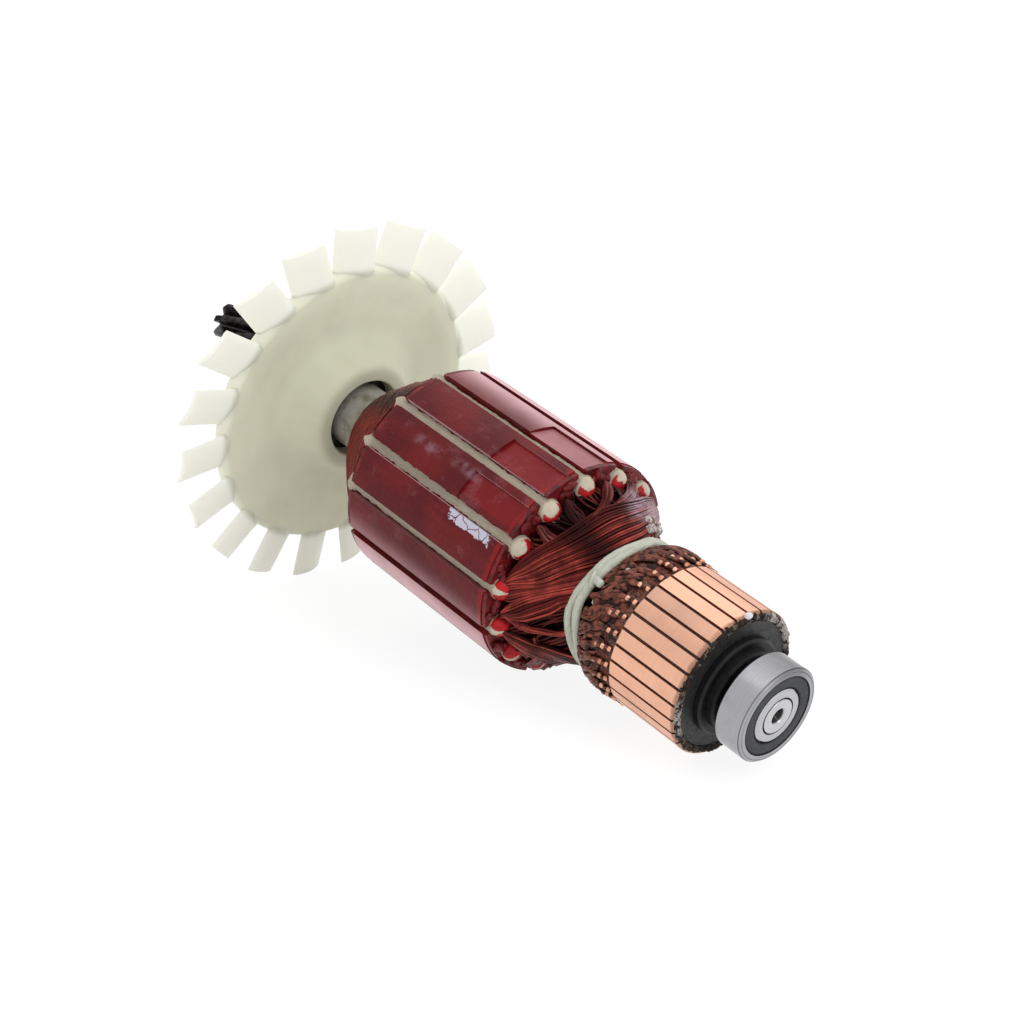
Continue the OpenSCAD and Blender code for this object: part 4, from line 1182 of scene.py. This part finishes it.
class ARMATURE_OT_leads(bpy.types.Operator):
    """Build the leads on the bars: bare ends in front, thick varnish behind"""

    bl_idname = "armature.leads"
    bl_label = "Leads"

    def execute(self, context):
        looks = context.scene.armature_winding
        lead = looks.lead / MM
        draw = np.random.default_rng(17)
        wires, ends, mass = Form(), Form(), Form()
        self.varnish(mass)
        for bar in range(BARS):
            middle = BAR_TURN + (bar + 0.5) * BAR_PITCH
            # Each lead's end: degrees off the bar's middle, place and height.
            leads = [(0.0, 31.95, 16.72), (-0.5, 33.75, 16.86)]
            if draw.random() < 0.55:
                leads.append((-2.4, 35.4, 16.8))
            for off, start, height in leads:
                a0 = middle + off + draw.uniform(-0.5, 0.5)
                z0 = start + draw.uniform(-0.12, 0.15)
                radius = lead / 2 * draw.uniform(0.95, 1.08)
                tip = [(a0, height, z0 + back) for back in (0.0, 0.04, 0.14, 0.3, 0.5, 0.75)]
                ends.tube(around(*np.array(tip).T), radius * np.array([0.4, 0.68, 0.92, 1.05, 1.1, 1.08]), 18)
                bends = [
                    (a0, height, z0 + 0.6), (a0 - 1, height + 0.05, z0 + 2), (a0 - 7, 16.6, 39.6),
                    (a0 - 13, 15.3, 42), (a0 - 16, 13.8, 44),
                ]
                run = smooth_run(bends, 18)
                run[1:, 1] += wander(draw, 17, 0.16)
                run[1:, 0] += wander(draw, 17, 1.2)
                wires.tube(around(*run.T), radius * draw.uniform(0.8, 1.0), 8)
            # Varnish beside the leads, thin strands behind them, and drops on the strands.
            for side in (-1, 1):
                for z in (32.2, 33.5, 34.9):
                    size = chances(draw, (0.3, 0.45), (0.6, 1.0), (0.7, 1.1))
                    a = middle + side * draw.uniform(4.6, 6.6)
                    mass.lump(around(a, 16.2, z + draw.uniform(-0.2, 0.3)), size, draw, 8, 12, 0.1)
            for _ in range(3):
                a0, z0 = middle + draw.uniform(-6, 6), draw.uniform(35.4, 37.5)
                bends = [
                    (a0, 16.2, z0), (a0 - 3, 17.0, z0 + 1), (a0 - 9, 16.8, 39.8), (a0 - 14, 15.6, 42),
                    (a0 - 17, 14, 44),
                ]
                run = smooth_run(bends, 16)
                run[:, 0] += wander(draw, 16, 1.6)
                wires.tube(around(*run.T), radius * draw.uniform(0.5, 0.75), 8)
            for _ in range(5):
                z = draw.uniform(35.4, 42)
                r = np.interp(z, (34.4, 36, 39.3, 42), (16.3, 16.7, 16.6, 15.1))
                size = chances(draw, (0.4, 0.7), (0.6, 1.4), (0.7, 1.5))
                mass.lump(around(middle + draw.uniform(-6.4, 6.4), r, z), size, draw, 9, 14, 0.07)
        deep, thin = shade(looks.varnish, 0.14), shade(looks.varnish, 0.25)
        varnish = brown_varnish("lead_varnish", deep, (0.19, 0.05, 0.03), (0.26, 0.15, 0.13), 0.45)
        brown = brown_varnish("varnished_wire", thin, (0.25, 0.075, 0.05), (0.13, 0.12, 0.14), 0.2)
        make("varnished_leads", wires, brown)
        make("lead_varnish", mass, varnish)
        make("lead_ends", ends, turned_ends(context.scene.armature_metal.copper), sharp=50)
        return {"FINISHED"}

    def varnish(self, mass):
        """The mass of varnish between the bars and the lacing, with a ripple for each lead."""
        z, r = VARNISH
        outline = [*zip(r, z), (12.0, 43.6), (12.0, 36.2), (15.5, 36.2), (15.5, 31.55)]

        def ripple(a, r, z):
            along = (z > 31.6) & (z < 43.5) & (r > 13)
            rows = np.sin(np.radians((a + 2 * (z - 35)) * BARS + 90))
            fine = np.sin(np.radians(a * 61 + z * 130)) + np.sin(np.radians(a * 97 - z * 170))
            return r + along * (0.2 * rows + 0.07 * fine), z

        mass.lathe(outline, 392, ripple)


class ARMATURE_OT_lacing(bpy.types.Operator):
    """Build the two turns of varnished cord round the neck, with the end of the knot"""

    bl_idname = "armature.lacing"
    bl_label = "Lacing"

    def execute(self, context):
        looks = context.scene.armature_winding
        thick = looks.cord / MM
        count = 420
        line = np.array(sorted(((a + 360) % 360, z) for a, z in LACING_LINE))
        angle = np.linspace(0, 360, count, endpoint=False)
        spread = np.vstack([line - (360, 0), line, line + (360, 0)])
        middle = np.interp(angle, *smooth_run(spread, 900).T)
        apart = np.exp(-(((angle - 88) / 24) ** 2))
        draw = np.random.default_rng(29)
        form = Form()
        for side, gap in ((-1, 0.0), (1, 1.5)):
            z = middle + side * (0.6 + 0.08 * np.sin(np.radians(angle * 3))) + gap * apart
            r = 15.0 + 0.1 * np.sin(np.radians(angle * 5 + side * 90)) - 0.2 * apart * (side > 0)
            path = around(angle, r, z)
            turn = np.linspace(0, 2 * math.pi, 20, endpoint=False)[None, :]
            plies = 1 + 0.02 * np.cos(3 * turn + np.radians(angle)[:, None] * 40)
            plies = plies + 0.006 * draw.uniform(-1, 1, (count, 20))
            outward = around(angle, 1.0, 0.0)
            spokes = np.cos(turn)[..., None] * outward[:, None] + np.sin(turn)[..., None] * (0, 0, 1.0)
            form.loft(path[:, None] + spokes * (thick / 2 * plies)[..., None] * (0.9, 0.9, 1.0), loop=True)
        # The end of the knot, the turn of cord over it and a few scraps.
        bends = [(129.5, 15.1, 44.6), (129.2, 16.1, 43.6), (128.8, 16.5, 42.5), (128.2, 16.6, 41.5)]
        stub = smooth_run(bends, 14)
        size = np.full(14, thick * 0.45)
        size[-2:] = thick * 0.41, thick * 0.3
        form.tube(around(*stub.T), size, 16)
        wrap = smooth_run([(134, 15.6, 45.6), (131, 16.1, 44.8), (127, 16.1, 44.3), (123, 15.5, 44.0)], 16)
        form.tube(around(*wrap.T), thick * 0.32, 14)
        for angle, along in ((148.5, 39.3), (123.7, 39.5), (113.3, 38.9), (115.4, 41.2)):
            r = np.interp(along, (38, 42), (16.9, 15.6))
            form.lump(around(angle, r, along), (0.5, 0.75, 0.6), draw, 9, 14, 0.1)
        make("lacing_turns", form, lacing_cord_finish(looks.lacing), ["lacing_cord"])
        return {"FINISHED"}


class ARMATURE_OT_commutator(bpy.types.Operator):
    """Finish the copper bars, the moulding and the rough ring in front of them"""

    bl_idname = "armature.commutator"
    bl_label = "Commutator"

    def execute(self, context):
        looks = context.scene.armature_metal
        tones = []
        for i, by in enumerate((1.0, 0.94, 0.97, 0.84), 1):
            tones.append(turned_copper(f"turned_copper_{i}", shade(looks.copper, by)))
        brown = turned_copper("browned_copper", shade(looks.copper, 0.8), 0.75)
        draw = np.random.default_rng(41)
        # The bars in the middle are given the tones they show: the darker tones of bars 10 and 11 are partly
        # painted shade, and bar 11 also carries a brown stain.
        known = {8: tones[0], 9: tones[1], 10: tones[3], 11: brown, 12: tones[1], 13: tones[0]}
        for i in range(1, BARS + 1):
            dress(known.get(i, tones[draw.integers(0, 3)]), f"commutator_bar_{i:02d}")
        dress(moulded_resin(), "commutator_hub")
        make("crusted_ring", self.crust(draw), crusted_resin())
        drop = Form()
        drop.lump(around(176.3, 16.55, 12.9), (0.7, 1.1, 0.75), draw, 9, 14, 0.08)
        make("resin_drop", drop, balance_resin())
        dress(black_moulding(), "front_boss")
        return {"FINISHED"}

    def crust(self, draw):
        """The rough ring in front of the bars, with lumps on it."""
        ring = Form()
        sides, across = 448, 9
        share = np.linspace(0, 1, across)
        angle = np.linspace(0, 360, sides, endpoint=False)
        grain = np.interp(angle, np.arange(0, 361, 3.0), draw.uniform(-1, 1, 121))
        inner = 14.7 + 0.12 * draw.uniform(-1, 1, sides)
        outer = 16.3 + 0.28 * grain + 0.1 * draw.uniform(-1, 1, sides)
        r = inner + (outer - inner) * share[:, None]
        z = 12.7 - (0.3 + 0.12 * grain) * np.sin(share * math.pi)[:, None]
        z = z + 0.15 * draw.uniform(-1, 1, (across, sides))
        z[0], z[-1] = 12.85, 12.88
        under_r, under_z = np.stack([outer, inner]), np.full((2, sides), 13.25)
        all_round = np.broadcast_to(angle, (across + 2, sides))
        ring.loft(around(all_round, np.vstack([r, under_r]), np.vstack([z, under_z])), loop=True)
        # Lumps: from one angle to another, and how many.
        for low, high, count in ((196, 246, 26), (56, 92, 20), (92, 190, 16)):
            for a in draw.uniform(low, high, count):
                middle = around(a, draw.uniform(15.6, 16.3), 12.85)
                ring.lump(middle, draw.uniform(0.25, 0.7, 3), draw, 8, 12, 0.18)
        return ring


class ARMATURE_OT_fan(bpy.types.Operator):
    """Build the nylon fan: dished disc, hub and cambered blades"""

    bl_idname = "armature.fan"
    bl_label = "Fan"

    def execute(self, context):
        looks = context.scene.armature_fan
        rim, face, hub, front, back = looks.disc / MM / 2, FAN_FACE, 15.5, 134.5, 149.5
        form = Form()
        outline = [
            (6.24, back), (6.24, front + 7), (9.8, front + 7, 0.2), (9.8, front, 0.7),
            (hub - 2.2, front, 1.9), (hub + 0.6, front + 4.2, 3.2), (hub + 4.6, face + 1.6, 4.5),
            (hub + 10, face + 1.5, 4), (rim - 4, face + 0.1, 3), (rim - 0.9, face, 1.3),
            (rim, face + 1.4, 1.0), (rim, face + 4, 0.5), (rim - 2, face + 4, 0.4),
            (rim - 3.2, face + 5.2, 1.2), (hub + 3, face + 5.4, 2), (hub - 1.5, face + 6.4, 2),
            (hub - 4, back, 0.6),
        ]
        form.lathe(soften(outline, 0.3, 6), 168)
        for i in range(looks.blades):
            self.blade(form, looks, FAN_TURN + i * 360 / looks.blades)
        make("nylon_fan", form, nylon(looks.nylon, looks.blade), ["fan"], 38)
        dress(dark_steel(), "fan_bush")
        return {"FINISHED"}

    def blade(self, form, looks, angle):
        """One cambered blade with rounded edges, thicker where it leaves the rim."""
        chord, thick, pitch, camber = looks.chord / MM, looks.thickness / MM, looks.pitch, 0.9
        root, tip = looks.disc / MM / 2 - 1.6, looks.tips / MM / 2
        edge = chord / 2 * math.sin(pitch)
        t = np.concatenate([np.linspace(-1, 1, 15), np.linspace(1, -1, 15)[1:-1]])
        front = np.arange(len(t)) < 15
        stations = [(root, 1.35), (root + 1.4, 1.25), (root + 2.4, 1.12), (root + 3.8, 1.0)]
        stations += [(tip - 4, 0.96), (tip - 0.35, 0.92), (tip - 0.08, 0.8), (tip, 0.6)]
        rings = []
        for radius, grow in stations:
            full = thick * grow * (1 - 0.3 * np.abs(t)) * np.sqrt(np.clip(1 - np.abs(t) ** 12, 0, 1))
            over = camber * (1 - t * t) - thick / 2 + np.where(front, full / 2, -full / 2)
            across = t * chord / 2
            z = FAN_FACE + edge - (over * math.cos(pitch) + across * math.sin(pitch))
            y = -over * math.sin(pitch) + across * math.cos(pitch)
            rings.append(turned(radius, y, z, angle))
        form.loft(rings)


class ARMATURE_OT_bearing(bpy.types.Operator):
    """Finish the ball bearing and build its two rubber seals"""

    bl_idname = "armature.bearing"
    bl_label = "Bearing"

    def execute(self, context):
        looks = context.scene.armature_metal
        inner = ground_steel("inner_ring_steel", shade(looks.steel, 1.3), 0.22, painted_shade_within=4.35)
        dress(ground_steel("ground_ring", looks.steel, edged=True), "bearing_outer_ring")
        dress(inner, "bearing_inner_ring", "bearing_balls")
        dress(ground_steel("cage_steel", shade(looks.steel, 0.8), 0.35), "bearing_cage")
        rubber = black_rubber()
        for name, face, way in (("front", 0.3, 1), ("rear", 7.1, -1)):
            form = Form()
            outline = [(r, face + way * depth, *rounding) for r, depth, *rounding in SEAL]
            form.lathe(soften(outline, 0.05, 2), 120)
            replaced = [f"bearing_{name}_seal"]
            make(f"{name}_seal", form, rubber, replaced, 40, body="bearing_outer")
        return {"FINISHED"}


class ARMATURE_PT_panel(bpy.types.Panel):
    """Lists the pieces of the armature"""

    bl_idname = "ARMATURE_PT_panel"
    bl_label = "Motor armature"
    bl_space_type = "VIEW_3D"
    bl_region_type = "UI"
    bl_category = "Armature"

    def draw(self, context):
        for settings, pieces in PANEL:
            box = self.layout.box()
            group = getattr(context.scene, settings)
            for name in group.__annotations__:
                box.prop(group, name)
            for piece in pieces:
                box.operator(piece.bl_idname)


GROUPS = {
    "armature_stage": ArmatureStageSettings,
    "armature_metal": ArmatureMetalSettings,
    "armature_core": ArmatureCoreSettings,
    "armature_winding": ArmatureWindingSettings,
    "armature_fan": ArmatureFanSettings,
}
PANEL = [
    ("armature_stage", [ARMATURE_OT_stage]),
    ("armature_metal", [ARMATURE_OT_shaft, ARMATURE_OT_commutator, ARMATURE_OT_bearing]),
    ("armature_core", [ARMATURE_OT_core]),
    (
        "armature_winding",
        [
            ARMATURE_OT_papers, ARMATURE_OT_coils, ARMATURE_OT_front_head, ARMATURE_OT_leads,
            ARMATURE_OT_lacing,
        ],
    ),
    ("armature_fan", [ARMATURE_OT_fan]),
]
CLASSES = [*GROUPS.values(), *[piece for _, pieces in PANEL for piece in pieces], ARMATURE_PT_panel]


def register():
    for cls in CLASSES:
        bpy.utils.register_class(cls)
    for name, group in GROUPS.items():
        setattr(bpy.types.Scene, name, bpy.props.PointerProperty(type=group))


def unregister():
    for name in GROUPS:
        delattr(bpy.types.Scene, name)
    for cls in reversed(CLASSES):
        bpy.utils.unregister_class(cls)


def main():
    register()
    bpy.ops.armature.stage()
    bpy.ops.armature.shaft()
    bpy.ops.armature.core()
    bpy.ops.armature.papers()
    bpy.ops.armature.coils()
    bpy.ops.armature.front_head()
    bpy.ops.armature.leads()
    bpy.ops.armature.lacing()
    bpy.ops.armature.commutator()
    bpy.ops.armature.fan()
    bpy.ops.armature.bearing()


if __name__ == "__main__":
    main()
